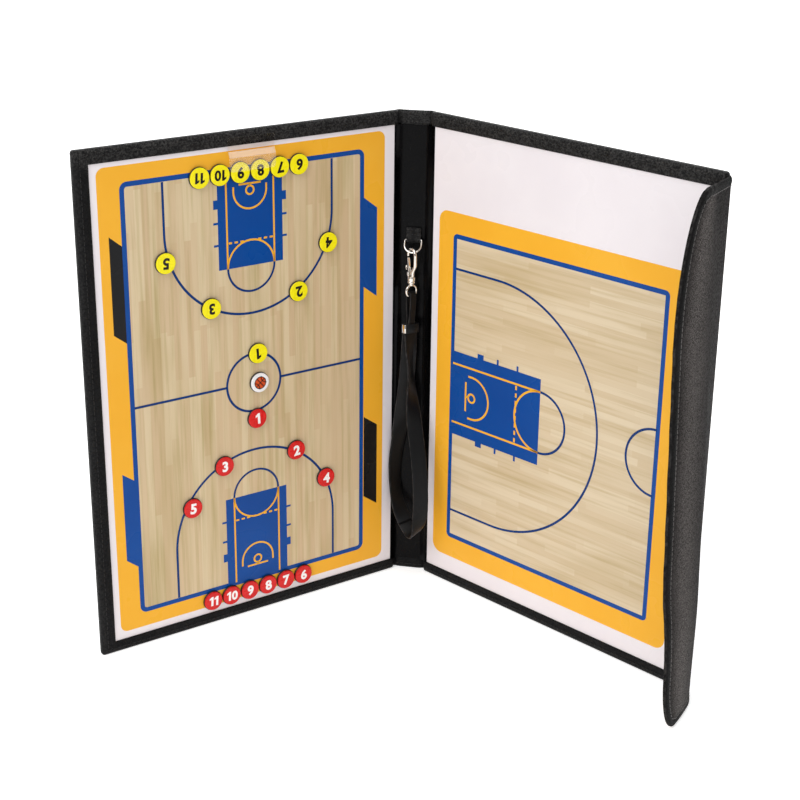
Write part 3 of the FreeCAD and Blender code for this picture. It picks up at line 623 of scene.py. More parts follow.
def court_planks_group():
    """Printed floor of narrow planks that run along X: two tones of maple under darker streaks."""
    inputs = [("Vector", "Vector", (0, 0, 0))]
    inputs += [(label, "Color", WHITE) for label in ("Light", "Dark", "Streak")]
    outputs = [("Color", "Color"), ("Roughness", "Float")]
    tree, given, put_out = new_group("court_planks", inputs, outputs)
    place = given["Vector"]
    rows = {"Scale": 1.0, "Brick Width": 0.085, "Row Height": 0.0044, "Mortar Size": 0.0, "Bias": 0.0}
    rows.update({"Vector": place, "Color1": (0, 0, 0, 1), "Color2": WHITE})
    shifts = {"offset": 0.37, "offset_frequency": 3, "squash": 0.78, "squash_frequency": 2}
    planks = shader(tree, "TexBrick", rows, **shifts)
    tone = spread(tree, planks.outputs["Color"], 0.0, 1.0)
    base = mixed(tree, tone, given["Light"], given["Dark"])
    narrow = stretched(tree, place, (11.0, 420.0, 420.0))
    fibres = spread(tree, speckle(tree, narrow, 1.0, 5.0, 0.6), 0.42, 0.78)
    wide = stretched(tree, place, (9.0, 60.0, 60.0))
    bands = spread(tree, speckle(tree, wide, 1.0, 2.0), 0.45, 0.75, 0.0, 0.7)
    streaks = maths(tree, "MULTIPLY_ADD", fibres, 0.6, maths(tree, "MULTIPLY", bands, 0.7))
    plug(tree, mixed(tree, streaks, base, given["Streak"]), put_out["Color"])
    plug(tree, spread(tree, fibres, 0.0, 1.0, 0.28, 0.36), put_out["Roughness"])
    return tree


def metal_wear_group():
    """Handled metal: roughness with hairline scratches and a soft casting unevenness."""
    inputs = [("Polished", "Float", 0.12), ("Scratched", "Float", 0.34)]
    outputs = [("Roughness", "Float"), ("Height", "Float")]
    tree, given, put_out = new_group("metal_wear", inputs, outputs)
    place = local_place(tree)
    drawn = stretched(tree, place, (9000.0, 700.0, 1800.0))
    hairs = spread(tree, speckle(tree, drawn, 1.0, 4.0, 0.6), 0.5, 0.8)
    cloud = speckle(tree, place, 420.0, 3.0)
    worn = maths(tree, "MULTIPLY", hairs, spread(tree, cloud, 0.3, 0.7))
    step = maths(tree, "SUBTRACT", given["Scratched"], given["Polished"])
    plug(tree, maths(tree, "MULTIPLY_ADD", worn, step, given["Polished"]), put_out["Roughness"])
    plug(tree, cloud, put_out["Height"])
    return tree


def moulded_skin_group():
    """Moulded plastic: faint colour drift, fingerprint gloss changes and a fine skin."""
    inputs = [("Hue", "Color", WHITE), ("Shade", "Color", WHITE)]
    outputs = [("Color", "Color"), ("Roughness", "Float"), ("Height", "Float")]
    tree, given, put_out = new_group("moulded_skin", inputs, outputs)
    place = local_place(tree)
    cloud = spread(tree, speckle(tree, place, 130.0, 3.0), 0.3, 0.7)
    plug(tree, mixed(tree, cloud, given["Hue"], given["Shade"]), put_out["Color"])
    gloss = spread(tree, speckle(tree, place, 420.0, 3.0), 0.3, 0.75, 0.22, 0.42)
    plug(tree, gloss, put_out["Roughness"])
    plug(tree, speckle(tree, place, 1800.0, 2.0), put_out["Height"])
    return tree


PEBBLE_GRAIN = pebble_grain_group()
RUB_AND_SHEEN = rubbed_edge_group()
INK_PRINT = ink_print_group()
COURT_PLANKS = court_planks_group()
METAL_WEAR = metal_wear_group()
MOULDED_SKIN = moulded_skin_group()


# Finishes of the pieces.


def new_finish(name, constants):
    """New material with its plain values set on the shader's sockets, its tree and those sockets."""
    material = bpy.data.materials.new(name)
    material.use_nodes = True
    skin = material.node_tree.nodes["Principled BSDF"]
    for label, value in constants.items():
        skin.inputs[label].default_value = value
    return material, material.node_tree, skin.inputs


def group_node(tree, group, inputs=None):
    """Outputs of a shared group placed in a material with its own values."""
    made = tree.nodes.new("ShaderNodeGroup")
    made.node_tree = group
    for name, value in (inputs or {}).items():
        plug(tree, value, made.inputs[name])
    return made.outputs


def relief(tree, sockets, height, strength, depth):
    """Bump of a height on the shader's normal, its depth in millimetres."""
    inputs = {"Height": height, "Strength": strength, "Distance": depth * MM}
    plug(tree, shader(tree, "Bump", inputs).outputs["Normal"], sockets["Normal"])


def grained_leather(name, deep, lit, worn, pebbles, rough, depth, sheen, scuffs=320.0):
    """Black leather with its grain, drifting tone, painted shade in the grain's hollows, and rubbed edges whose worn
    colour also paints sheen where the rub says so.
    """
    material, tree, sockets = new_finish(name, {"Specular IOR Level": sheen})
    grain = group_node(tree, PEBBLE_GRAIN, {"Pebbles": pebbles})
    # Mask of edge wear and painted sheen: where it is high the worn colour is mixed in.
    edge = group_node(tree, RUB_AND_SHEEN, {"Scuffs": scuffs})["Mask"]
    tone = spread(tree, grain["Tone"], 0.3, 0.7)
    # Half the hide's colour follows the grain's height: raised pebbles take the lit colour and hollows the deep one, as
    # painted shade in the grain.
    grain_shade = spread(tree, grain["Height"], 0.15, 0.8)
    share = maths(tree, "MULTIPLY_ADD", tone, 0.5, maths(tree, "MULTIPLY", grain_shade, 0.5))
    hide = mixed(tree, share, deep, lit)
    plug(tree, mixed(tree, edge, hide, worn), sockets["Base Color"])
    base_rough = spread(tree, grain["Height"], 0.2, 1.1, rough + 0.12, rough - 0.05)
    plug(tree, maths(tree, "MULTIPLY_ADD", edge, -0.1, base_rough), sockets["Roughness"])
    relief(tree, sockets, grain["Height"], 0.55, depth)
    return material


def printed_ink(name, ink, shade):
    """One colour of the print."""
    material, tree, sockets = new_finish(name, {"Specular IOR Level": 0.16})
    film = group_node(tree, INK_PRINT, {"Ink": ink, "Shade": shade})
    plug(tree, film["Color"], sockets["Base Color"])
    plug(tree, film["Roughness"], sockets["Roughness"])
    relief(tree, sockets, film["Height"], 0.12, 0.02)
    return material


def printed_planks(name, turn, light, dark, streak):
    """Printed court floor, its planks turned about the board's face."""
    material, tree, sockets = new_finish(name, {"Specular IOR Level": 0.16})
    inputs = {"Vector": local_place(tree), "Rotation": (0, 0, math.radians(turn))}
    along = shader(tree, "Mapping", inputs).outputs[0]
    tones = {"Light": light, "Dark": dark, "Streak": streak}
    floor = group_node(tree, COURT_PLANKS, {"Vector": along, **tones})
    plug(tree, floor["Color"], sockets["Base Color"])
    plug(tree, floor["Roughness"], sockets["Roughness"])
    tooth = group_node(tree, INK_PRINT)["Height"]
    relief(tree, sockets, tooth, 0.12, 0.02)
    return material


def metal(name, colour, polished, scratched):
    """Plated or rolled metal."""
    material, tree, sockets = new_finish(name, {"Base Color": colour, "Metallic": 1.0})
    wear = group_node(tree, METAL_WEAR, {"Polished": polished, "Scratched": scratched})
    plug(tree, wear["Roughness"], sockets["Roughness"])
    relief(tree, sockets, wear["Height"], 0.25, 0.03)
    return material


def moulded_plastic(name, hue, shade):
    """Glossy moulded plastic of the discs."""
    material, tree, sockets = new_finish(name, {"Specular IOR Level": 0.25})
    skin = group_node(tree, MOULDED_SKIN, {"Hue": hue, "Shade": shade})
    plug(tree, skin["Color"], sockets["Base Color"])
    plug(tree, skin["Roughness"], sockets["Roughness"])
    relief(tree, sockets, skin["Height"], 0.1, 0.02)
    return material


def clear_plastic(name, tint, clearness, cover):
    """Thin clear sheet with handling haze. Cover is the share of light that its skin stops; on the tab's bend that pale
    skin is a painted highlight.
    """
    constants = {"Base Color": tint, "Transmission Weight": clearness, "IOR": 1.05, "Alpha": cover}
    material, tree, sockets = new_finish(name, constants)
    skin = group_node(tree, MOULDED_SKIN)
    plug(tree, spread(tree, skin["Roughness"], 0.2, 0.45, 0.03, 0.16), sockets["Roughness"])
    relief(tree, sockets, skin["Height"], 0.08, 0.02)
    return material


def pressed_board():
    """Grey pressed board inside the covers."""
    material, tree, sockets = new_finish("pressed_board", {"Roughness": 0.85})
    film = group_node(tree, INK_PRINT, {"Ink": srgb(160, 154, 144), "Shade": srgb(128, 122, 112)})
    plug(tree, film["Color"], sockets["Base Color"])
    relief(tree, sockets, film["Height"], 0.5, 0.05)
    return material


# Its worn colour paints the worn edges and the painted sheen along the head of the border.
COVER_LEATHER = grained_leather(
    "cover_leather", srgb(9, 9, 10), srgb(22, 22, 23), srgb(66, 65, 64),
    pebbles=1050.0, rough=0.46, depth=0.3, sheen=0.08, scuffs=900.0,
)
# Its worn colour is the painted sheen across the flap's panel.
FLAP_LEATHER = grained_leather(
    "flap_leather", srgb(20, 18, 18), srgb(43, 40, 39), srgb(112, 106, 103),
    pebbles=900.0, rough=0.66, depth=0.34, sheen=0.05, scuffs=1500.0,
)
FLAP_EDGE = grained_leather(
    "flap_edge", srgb(11, 10, 10), srgb(22, 21, 21), srgb(56, 54, 53),
    pebbles=1300.0, rough=0.6, depth=0.2, sheen=0.06,
)
# Thread of the flap's outer seam: its pale colour is a painted highlight along the seam's groove.
SEAM_HIGHLIGHT_THREAD = grained_leather(
    "seam_highlight_thread", srgb(76, 73, 72), srgb(104, 100, 98), srgb(108, 104, 102),
    pebbles=2400.0, rough=0.45, depth=0.1, sheen=0.3,
)
SMOOTH_LINING = grained_leather(
    "smooth_lining", srgb(2, 2, 3), srgb(6, 6, 7), srgb(20, 20, 21),
    pebbles=2600.0, rough=0.26, depth=0.012, sheen=0.08,
)
STRAP_LEATHER = grained_leather(
    "strap_leather", srgb(8, 8, 9), srgb(16, 16, 17), srgb(58, 57, 58),
    pebbles=1900.0, rough=0.36, depth=0.03, sheen=0.16,
)
THREAD = grained_leather(
    "thread", srgb(26, 26, 27), srgb(42, 41, 40), srgb(50, 50, 50),
    pebbles=2400.0, rough=0.45, depth=0.1, sheen=0.2,
)
COURT_WHITE = printed_ink("court_white", srgb(234, 228, 231), srgb(228, 221, 225))
COURT_ORANGE = printed_ink("court_orange", srgb(239, 177, 51), srgb(236, 170, 43))
COURT_BLUE = printed_ink("court_blue", srgb(4, 72, 150), srgb(2, 64, 140))
COURT_NAVY = printed_ink("court_navy", srgb(10, 54, 116), srgb(6, 48, 106))
COURT_BLACK = printed_ink("court_black", srgb(16, 16, 18), srgb(24, 24, 26))
UPRIGHT_TONES = (srgb(212, 193, 158), srgb(203, 178, 143), srgb(168, 149, 98))
LEVEL_TONES = (srgb(216, 199, 170), srgb(206, 186, 154), srgb(182, 160, 118))
PLANKS = {
    "left": printed_planks("planks_upright", 90, *UPRIGHT_TONES),
    "right": printed_planks("planks_level", 0, *LEVEL_TONES),
}
NICKEL = metal("nickel", srgb(222, 218, 212), 0.1, 0.28)
SHEET_STEEL = metal("sheet_steel", srgb(190, 192, 196), 0.3, 0.45)
MAGNET_DARK = metal("magnet_dark", srgb(62, 60, 60), 0.4, 0.6)
DISC_YELLOW = moulded_plastic("disc_yellow", srgb(246, 234, 16), srgb(240, 226, 10))
DISC_RED = moulded_plastic("disc_red", srgb(214, 30, 28), srgb(202, 22, 22))
DISC_WHITE = moulded_plastic("disc_white", srgb(240, 238, 240), srgb(232, 230, 232))
BALL_ORANGE = moulded_plastic("ball_orange", srgb(214, 84, 36), srgb(192, 66, 26))
NUMERAL_BLACK = moulded_plastic("numeral_black", srgb(16, 15, 14), srgb(24, 22, 20))
NUMERAL_WHITE = moulded_plastic("numeral_white", srgb(248, 246, 246), srgb(238, 236, 236))
CLEAR_PLASTIC = clear_plastic("clear_plastic", srgb(255, 250, 245), 1.0, 1.0)
# Pale skin over the tab's bend: a painted highlight of the light that the bend catches from above.
BEND_HIGHLIGHT_PLASTIC = clear_plastic("bend_highlight_plastic", srgb(255, 238, 216), 0.0, 0.34)
HAZY_PLASTIC = clear_plastic("hazy_plastic", srgb(255, 246, 226), 0.0, 0.1)
PRESSED_BOARD = pressed_board()


# Wrist strap: a loop of flat band in two lengths that meet at its foot, and its narrow neck through the
# swivel eye. Routes are across and up in the strap's frame.

STRAP_ROUTES = {
    "left": [
        (-0.72, -20.9), (-0.72, -34.0), (-3.0, -60.0), (-9.2, -92.0), (-14.8, -119.0),
        (-12.4, -140.0), (-4.6, -152.0), (0.0, -155.6),
    ],
    "right": [
        (0.0, -155.6), (7.7, -161.6), (13.6, -160.0), (18.0, -142.0), (14.6, -110.0),
        (5.0, -76.0), (0.72, -44.0), (0.72, -20.9),
    ],
}
STRAP_TWISTS = {
    "left": [(0, 0), (0.13, 38), (0.38, 34), (0.64, 4), (0.82, -8), (1, 20)],
    "right": [(0, 20), (0.06, 26), (0.22, -30), (0.54, -30), (0.81, 34), (1, 0)],
}
STRAP_WIDTH, STRAP_THICKNESS = 10.0, 1.2
NECK_ROUTE = [
    (-0.7, -20.7), (-1.2, -15.0), (-2.2, -6.0), (-2.1, 2.9),
    (2.1, 2.9), (2.2, -6.0), (1.2, -15.0), (0.7, -20.7),
]
NECK_WIDTH, NECK_THICKNESS, NECK_BEND = 4.6, 1.1, 18.0
# Section of a band as shares of its width and thickness: from one edge to the middle, over one face,
# and round. Its edge is rubbed beyond a share of the width.
BAND_EDGE = [(0.5, 0.2), (0.485, 0.4), (0.44, 0.5), (0.25, 0.53), (0.0, 0.54)]
BAND_FACE = BAND_EDGE + [(-wide, high) for wide, high in reversed(BAND_EDGE[:-1])]
BAND_SECTION = BAND_FACE + [(-wide, -high) for wide, high in BAND_FACE]
RUBBED_SHARE = 0.47


def spline_points(name, route):
    """Points along the smooth line of a route, in millimetres in the strap's frame."""
    data = bpy.data.curves.new(name, "CURVE")
    data.dimensions = "3D"
    data.resolution_u = 10
    line = data.splines.new("NURBS")
    line.points.add(len(route) - 1)
    for point, (across, up) in zip(line.points, route):
        point.co = (across * MM, 0.0, up * MM, 1.0)
    line.order_u = 3
    line.use_endpoint_u = True
    return [point / MM for point in curve_mesh(name, data)[0]]


def flat_band(name, route, width, thickness, twists):
    """Flat band along a route's smooth line, turned about that line by keyed angles."""
    path = spline_points(name + "_line", route)
    shares, length = along_shares(path)
    points, rubs = [], []
    for point, along, share in zip(path, path_tangents(path), shares):
        turn = Matrix.Rotation(math.radians(eased(twists, share)), 3, along)
        wide = turn @ BACK
        deep = along.cross(wide)
        for across, high in BAND_SECTION:
            points.append(point + wide * (across * width) + deep * (high * thickness))
            rubs.append(1.0 if abs(across) > RUBBED_SHARE else 0.0)
    mesher = Mesher()
    mesher.add(points, capped_faces(len(path), len(BAND_SECTION)), 0, rubs)
    made = mesher.piece(name, [STRAP_LEATHER], STRAP_FRAME)
    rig.slot(made, "strap")
    placed_path = [STRAP_FRAME @ (point * MM) for point in path]
    return made, placed_path, length * MM


def bent_wall(mesher, run, bend, levels):
    """Upright wall bent round two corners, from (height, half thickness) pairs, foot first."""
    path = bent_path([Vector((x, y, 0)) for x, y in run], [bend, bend], 6)
    section = levels + [(height, -half) for height, half in reversed(levels)]
    swept(mesher, path, section, UP)


def crimp_clip():
    """Bent metal clip pressed round the strap's ends, open along one edge."""
    half_depth, half_width, wall, edge = 1.42, 5.1, 0.6, 2.9
    deep, reach = half_depth + wall / 2, half_width + wall / 2
    levels = [(-23.6, 0.18), (-23.45, 0.3), (-21.0, 0.3), (-20.7, 0.38)]
    levels += [(-20.4, 0.3), (-18.35, 0.3), (-18.2, 0.18)]
    mesher = Mesher()
    bent_wall(mesher, [(deep, edge), (deep, -reach), (-deep, -reach), (-deep, edge)], 0.7, levels)
    made = mesher.piece("crimp_clip", [NICKEL], STRAP_FRAME)
    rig.slot(made, "nickel")
    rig.ride(made, "wrist_strap")
    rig.replaces(made, "strap_crimp")
    return made


def clip_keeper():
    """Leather keeper round the clip, open where the clip's bent edge shows."""
    deep, reach, edge = 2.3, 5.5, -4.8
    levels = [(-23.9, 0.1), (-23.8, 0.22), (-18.0, 0.22), (-17.9, 0.1)]
    mesher = Mesher()
    bent_wall(mesher, [(deep, edge), (deep, reach), (-deep, reach), (-deep, edge)], 1.2, levels)
    made = mesher.piece("clip_keeper", [STRAP_LEATHER], STRAP_FRAME)
    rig.slot(made, "strap")
    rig.ride(made, "wrist_strap")
    return made


def wrist_strap():
    """Strap, neck and clip, declared as cords that hang from the eye and come back to it."""
    on_strap = {"left": [crimp_clip(), clip_keeper()], "right": []}
    for name, route in STRAP_ROUTES.items():
        band, path, length = flat_band(
            f"strap_{name}_band", route, STRAP_WIDTH, STRAP_THICKNESS, STRAP_TWISTS[name]
        )
        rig.ride(band, "wrist_strap")
        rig.replaces(band, "wrist_strap")
        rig.squash(band, f"{name}_cover_fold", axis=(1, 0, 0), anchor=EYE_POINT * MM, keep=0.26)
        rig.cord(
            band, exit=path[0], length=length, diameter=STRAP_WIDTH * MM, far_end="object",
            stiffness="limp", lay="hanging", path=path, with_pieces=on_strap[name],
        )
    neck, path, length = flat_band(
        "strap_neck_band", NECK_ROUTE, NECK_WIDTH, NECK_THICKNESS, [(0, 0), (1, 0)]
    )
    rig.blend(neck, "swivel_eye", "wrist_strap", EYE_POINT * MM, (EYE_POINT - UP * NECK_BEND) * MM)
    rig.replaces(neck, "strap_neck")
    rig.cord(
        neck, exit=path[0], length=length, diameter=NECK_WIDTH * MM, far_end="object", stiffness="limp",
        lay="hanging", path=path,
    )


wrist_strap()


# Leather covers, spine and lining.

CORNER_ROUND = 1.8
SEAM_INSET, HEAD_SEAM_INSET = 3.2, 3.7
# Depth past which the border's leather is uneven.
BORDER_START = 4.3
# Painted sheen along the head of the border, where light from above falls on it, and the share of edge rub left
# elsewhere, which keeps the sides and foot darker.
HEAD_SHEEN, EDGE_RUB = 0.75, 0.3
LINING_LEVEL, LINING_THICKNESS = -2.9, 0.4


def rim_profile():
    """Inset, depth and rub of the leather round a cover's edge, from its back to the court."""
    profile = [(12.0, 0.0, 0.0), (EDGE_ROUND, 0.0, 0.2)]
    for angle in quarter_turn(5)[1:]:
        profile.append((EDGE_ROUND * (1 - math.sin(angle)), EDGE_ROUND * (1 - math.cos(angle)), 1.0))
    for angle in quarter_turn(5):
        high = COVER_DEPTH - EDGE_ROUND + EDGE_ROUND * math.sin(angle)
        profile.append((EDGE_ROUND * (1 - math.cos(angle)), high, 1.0))
    profile += [(3.4, 5.08, 0.1), (5.6, 5.06, 0.0), (BORDER - 0.45, 4.98, 0.3)]
    profile += [(BORDER - 0.12, 4.85, 0.7), (BORDER, 4.6, 0.3), (BORDER, COURT_FACE - 0.02, 0.0)]
    return profile


def border_rub(rub, level, depth):
    """Rub of the leather border: painted sheen along the head, and edge rub kept faint elsewhere so that sides and foot
    stay darker.
    """
    if level > FIELD_HEAD and depth > EDGE_ROUND:
        return max(rub, HEAD_SHEEN)
    return rub * EDGE_RUB


def border_sag(spot, depth, side):
    """Gentle unevenness of the border's face."""
    if depth <= BORDER_START:
        return 0.0
    return noise.noise(Vector((spot.x * 0.02, spot.y * 0.02, depth * 0.2 + side * 7))) * 0.12


def round_corner(across, up, radius, turn):
    """Places round a corner, without its two ends."""
    angles = [math.radians(angle) for angle in between(turn, turn + 90, 6)[1:-1]]
    return [(across + radius * math.cos(a), up + radius * math.sin(a)) for a in angles]


def cover_outline(name, inset, start=COVER_START):
    """Open line round a cover's three free edges, let in from them, from the foot to the head."""
    share = inset / BORDER
    reach = COVER_REACH[name] + (FIELD_REACH - COVER_REACH[name]) * share
    low, high = inset, COVER_HEIGHT + (FIELD_HEAD - COVER_HEIGHT) * share
    corner = max(CORNER_ROUND - inset, 0.3)
    bend = reach - corner
    line = [(x, low) for x in between(start, bend, 30)]
    line += round_corner(bend, low + corner, corner, -90)
    line += [(reach, y) for y in between(low + corner, high - corner, 40)]
    line += round_corner(bend, high - corner, corner, 0)
    line += [(x, high) for x in between(bend, start, 30)]
    return [Vector((x, y, 0)) for x, y in line]


def cover_skin(name):
    """Leather of one cover: back, rounded edges, turned-in border and the stitches through it."""
    side = SIDE[name]
    profile = rim_profile()
    points, rubs = [], []
    for inset, depth, rub in profile:
        for spot in cover_outline(name, inset):
            points.append(Vector((side * spot.x, spot.y, depth + border_sag(spot, depth, side))))
            rubs.append(border_rub(rub, spot.y, depth))
    count = len(points) // len(profile)
    flip = side > 0
    back = list(range(count))
    faces = grid_faces(len(profile), count, flip=flip) + [back if flip else back[::-1]]
    mesher = Mesher()
    mesher.add(points, faces, 0, rubs)
    for depth, way in ((COVER_DEPTH + 0.1, 1), (-0.02, -1)):
        seam = cover_outline(name, SEAM_INSET, 10.0)
        line = [Vector((side * spot.x, spot.y, depth)) for spot in seam]
        stitch_line(mesher, line, [Vector((0, 0, way))] * len(line))
    made = mesher.piece(f"{name}_cover_skin", [COVER_LEATHER, THREAD], BOARDS[name])
    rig.slot(made, "leather")
    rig.ride(made, f"{name}_cover")
    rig.replaces(made, f"{name}_cover_leather")


def fold_axes(name):
    """Crease of one fold, the way from it over its cover, and the way in from the cover's back."""
    side = SIDE[name]
    turn = math.radians(abs(FOLD_TURN[name]))
    crease = Vector((side * HALF_SPINE, 0, 0))
    over = Vector((side * math.cos(turn), -math.sin(turn), 0))
    inward = Vector((-side * math.sin(turn), -math.cos(turn), 0))
    return crease, over, inward


def fold_stations(name):
    """Cross-section of the leather from the middle of the spine over one fold on to its cover."""
    side = SIDE[name]
    crease, over = fold_axes(name)[:2]
    line = bent_path([ORIGIN, crease, crease + over * COVER_START], [5.0], 10)
    line[1:1] = [Vector((side * x, 0, 0)) for x in (1.5, 3, 4.5, 6, 7.5)]
    line[-1:-1] = [crease + over * reach for reach in (3.5, 4.5, 5.5, 6.7)]
    return line


def spine_depth(point, crease, over):
    """Depth of the leather envelope at a station: thin at the fold, full on spine and cover."""
    beside = (point - crease).dot(over)
    if beside > 0:
        return eased([(0, 2.2), (0.9, 2.6), (4.4, COVER_DEPTH), (9, COVER_DEPTH)], beside)
    return eased([(0, 2.2), (4.5, SPINE_DEPTH), (12, SPINE_DEPTH)], (point - crease).length)


def spine_rows(deep):
    """Level, depth and rub of the leather at one station, from the foot's border to the head's."""
    bend = min(EDGE_ROUND, deep * 0.48)
    foot = [(BORDER, deep - 0.95, 0.0), (BORDER, deep - 0.3, 0.5)]
    foot += [(BORDER - 0.4, deep, 0.3), (bend, deep, 0.4)]
    for angle in quarter_turn(4)[1:]:
        foot.append((bend * (1 - math.sin(angle)), deep - bend * (1 - math.cos(angle)), 1.0))
    for angle in quarter_turn(4)[1:]:
        foot.append((bend * (1 - math.cos(angle)), bend * (1 - math.sin(angle)), 1.0))
    face = [(level, 0.0, 0.05) for level in between(0, COVER_HEIGHT, 12)[1:-1]]
    stretch = (COVER_HEIGHT - FIELD_HEAD) / BORDER
    head = [(COVER_HEIGHT - level * stretch, depth, rub) for level, depth, rub in reversed(foot)]
    return foot + face + head


def spine_half(name):
    """Leather of half the spine with one fold: outer face, head and foot turned in."""
    side = SIDE[name]
    crease, over = fold_axes(name)[:2]
    line = fold_stations(name)
    points, rubs = [], []
    inside, outside, inwards = [], [], []
    for point, along in zip(line, path_tangents(line)):
        inward = along.cross(UP) * side
        deep = spine_depth(point, crease, over)
        rows = spine_rows(deep)
        points += [point + inward * depth + UP * level for level, depth, rub in rows]
        rubs += [border_rub(rub, level, depth) for level, depth, rub in rows]
        inside.append(point + inward * (deep + 0.03))
        outside.append(point - inward * 0.02)
        inwards.append(inward)
    mesher = Mesher()
    count = len(points) // len(line)
    mesher.add(points, grid_faces(len(line), count, flip=side < 0), 0, rubs)
    for level in (SEAM_INSET, COVER_HEIGHT - HEAD_SEAM_INSET):
        stitch_line(mesher, [spot + UP * level for spot in inside], inwards)
        stitch_line(mesher, [spot + UP * level for spot in outside], [-inward for inward in inwards])
    made = mesher.piece(f"{name}_spine_half", [COVER_LEATHER, THREAD])
    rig.slot(made, "leather")
    start = crease - Vector((side * 3.0, 0, 0))
    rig.blend(made, "spine", f"{name}_cover", start * MM, (crease + over * 3.0) * MM)
    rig.replaces(made, "spine_leather")


def lining_half(name):
    """Smooth lining from the court board's edge over one fold to the middle of the spine."""
    side = SIDE[name]
    crease, over, inward = fold_axes(name)
    top = COURT_FACE + 0.35
    corners = [crease + over * 5.7 + inward * top, crease + over * 3.7 + inward * top]
    corners += [Vector((side * 7.6, LINING_LEVEL, 0)), Vector((0, LINING_LEVEL, 0))]
    line = bent_path(corners, [1.2, 2.5], 8)
    line[-1:-1] = [Vector((side * x, LINING_LEVEL, 0)) for x in (5.0, 3.4, 1.7)]
    tangents = path_tangents(line)
    levels = between(FIELD_FOOT + 0.1, FIELD_HEAD - 0.1, 44)
    outer, inner = [], []
    for level in levels:
        for index, (point, along) in enumerate(zip(line, tangents)):
            face = along.cross(UP) * side
            if face.y > 0:
                face = -face
            middle = math.sin(math.pi * index / (len(line) - 1))
            swell = middle * 0.35 * noise.noise(Vector((point.x * 0.15, level * 0.012, side * 3.0)))
            outer.append(point + face * swell + UP * level)
            inner.append(point + face * (swell - LINING_THICKNESS) + UP * level)
    rows, columns, total = len(levels), len(line), len(outer)
    flip = side > 0
    faces = skin_faces(rows, columns, flip)
    for row in range(rows - 1):
        below, above = row * columns, (row + 1) * columns
        rim = [below, above, total + above, total + below]
        faces.append(rim if flip else rim[::-1])
    mesher = Mesher()
    mesher.add(outer + inner, faces)
    made = mesher.piece(f"{name}_lining_half", [SMOOTH_LINING])
    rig.slot(made, "lining")
    start = crease - Vector((side * 3.4, 0, 0))
    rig.blend(made, "spine", f"{name}_cover", start * MM, (crease + over * 3.4) * MM)
    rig.replaces(made, "spine_lining")


for cover in SIDE:
    cover_skin(cover)
    spine_half(cover)
    lining_half(cover)


# Printed courts: thin films of ink on the white boards.

FILM = 0.015
COURT_LINE = 1.55
FRAME_LINE = 3.0
# Inks of a print, and its layers from the lowest.
ORANGE, BLUE, NAVY, BLACK, WOOD = range(5)
SURROUND, FLOOR, KEY_FIELD, LINES, MARKS, DASHES = range(1, 7)
# Measures of a court's end: out from its baseline, to each side of its middle, or across its lines.
FULL_END = {
    "lane": 16.1, "key": 22.1, "free": 59.5, "ring": 16.0, "mark": 1.15, "blue": 1.4, "dash": 43.7,
    "board": 9.0, "half_board": 7.5, "hoop": 13.0, "hoop_ring": 2.6, "charge": 11.2,
    "block": (16.4, 21.9), "block_rise": 2.7, "ticks": (30.6, 44.1),
    "arc": 57.3, "arc_middle": 32.2, "arc_start": 1.0, "arc_steps": 60,
}
HALF_END = {
    "lane": 20.1, "key": 28.6, "free": 73.0, "ring": 20.2, "mark": 1.35, "blue": 1.6, "dash": 53.5,
    "board": 11.5, "half_board": 10.0, "hoop": 16.5, "hoop_ring": 2.8, "charge": 14.3,
    "block": (20.7, 25.9), "block_rise": 3.1, "ticks": (37.7, 54.0),
    "arc": 83.2, "arc_middle": 35.0, "arc_start": 0.6, "arc_steps": 70,
}
CHARGE_TAIL = 3.0
BANNERS = [
    (BLACK, [(187.0, 191.0), (196.0, 198.0), (196.0, 257.0), (187.0, 249.5)]),
    (BLUE, [(13.0, 191.0), (23.4, 199.0), (23.4, 257.0), (13.0, 249.0)]),
    (BLUE, [(186.0, 45.0), (195.5, 52.5), (195.5, 110.0), (186.0, 103.0)]),
    (BLACK, [(12.0, 45.0), (22.4, 52.5), (22.4, 109.5), (12.0, 102.0)]),
]


def stroke(points, width, closed=False):
    """Points and faces of a line of even width along points of the board's face."""
    total = len(points)
    made = []
    for index, point in enumerate(points):
        if closed:
            before, after = points[index - 1], points[(index + 1) % total]
        else:
            before, after = points[max(index - 1, 0)], points[min(index + 1, total - 1)]
        run_in = (point - before).normalized() if (point - before).length > 1e-9 else None
        run_out = (after - point).normalized() if (after - point).length > 1e-9 else None
        run_in = run_in or run_out
        run_out = run_out or run_in
        side_in = Vector((-run_in.y, run_in.x))
        side_out = Vector((-run_out.y, run_out.x))
        side = (side_in + side_out) / (1 + side_in.dot(side_out))
        made += [point - side * (width / 2), point + side * (width / 2)]
    faces = [[2 * i, 2 * i + 2, 2 * i + 3, 2 * i + 1] for i in range(total - 1)]
    if closed:
        faces.append([2 * total - 2, 0, 1, 2 * total - 1])
    return made, faces


def arc(centre, radius, start, end, steps):
    """Points of an arc between two angles in degrees."""
    angles = [math.radians(angle) for angle in between(start, end, steps)]
    return [Vector(centre) + Vector((math.cos(a), math.sin(a))) * radius for a in angles]


def rounded_field(left, foot, right, head, radius):
    """Outline of a field with rounded corners."""
    corners = [(right - radius, foot + radius, -90), (right - radius, head - radius, 0)]
    corners += [(left + radius, head - radius, 90), (left + radius, foot + radius, 180)]
    outline = []
    for across, up, turn in corners:
        outline += arc((across, up), radius, turn, turn + 90, 8)
    return outline


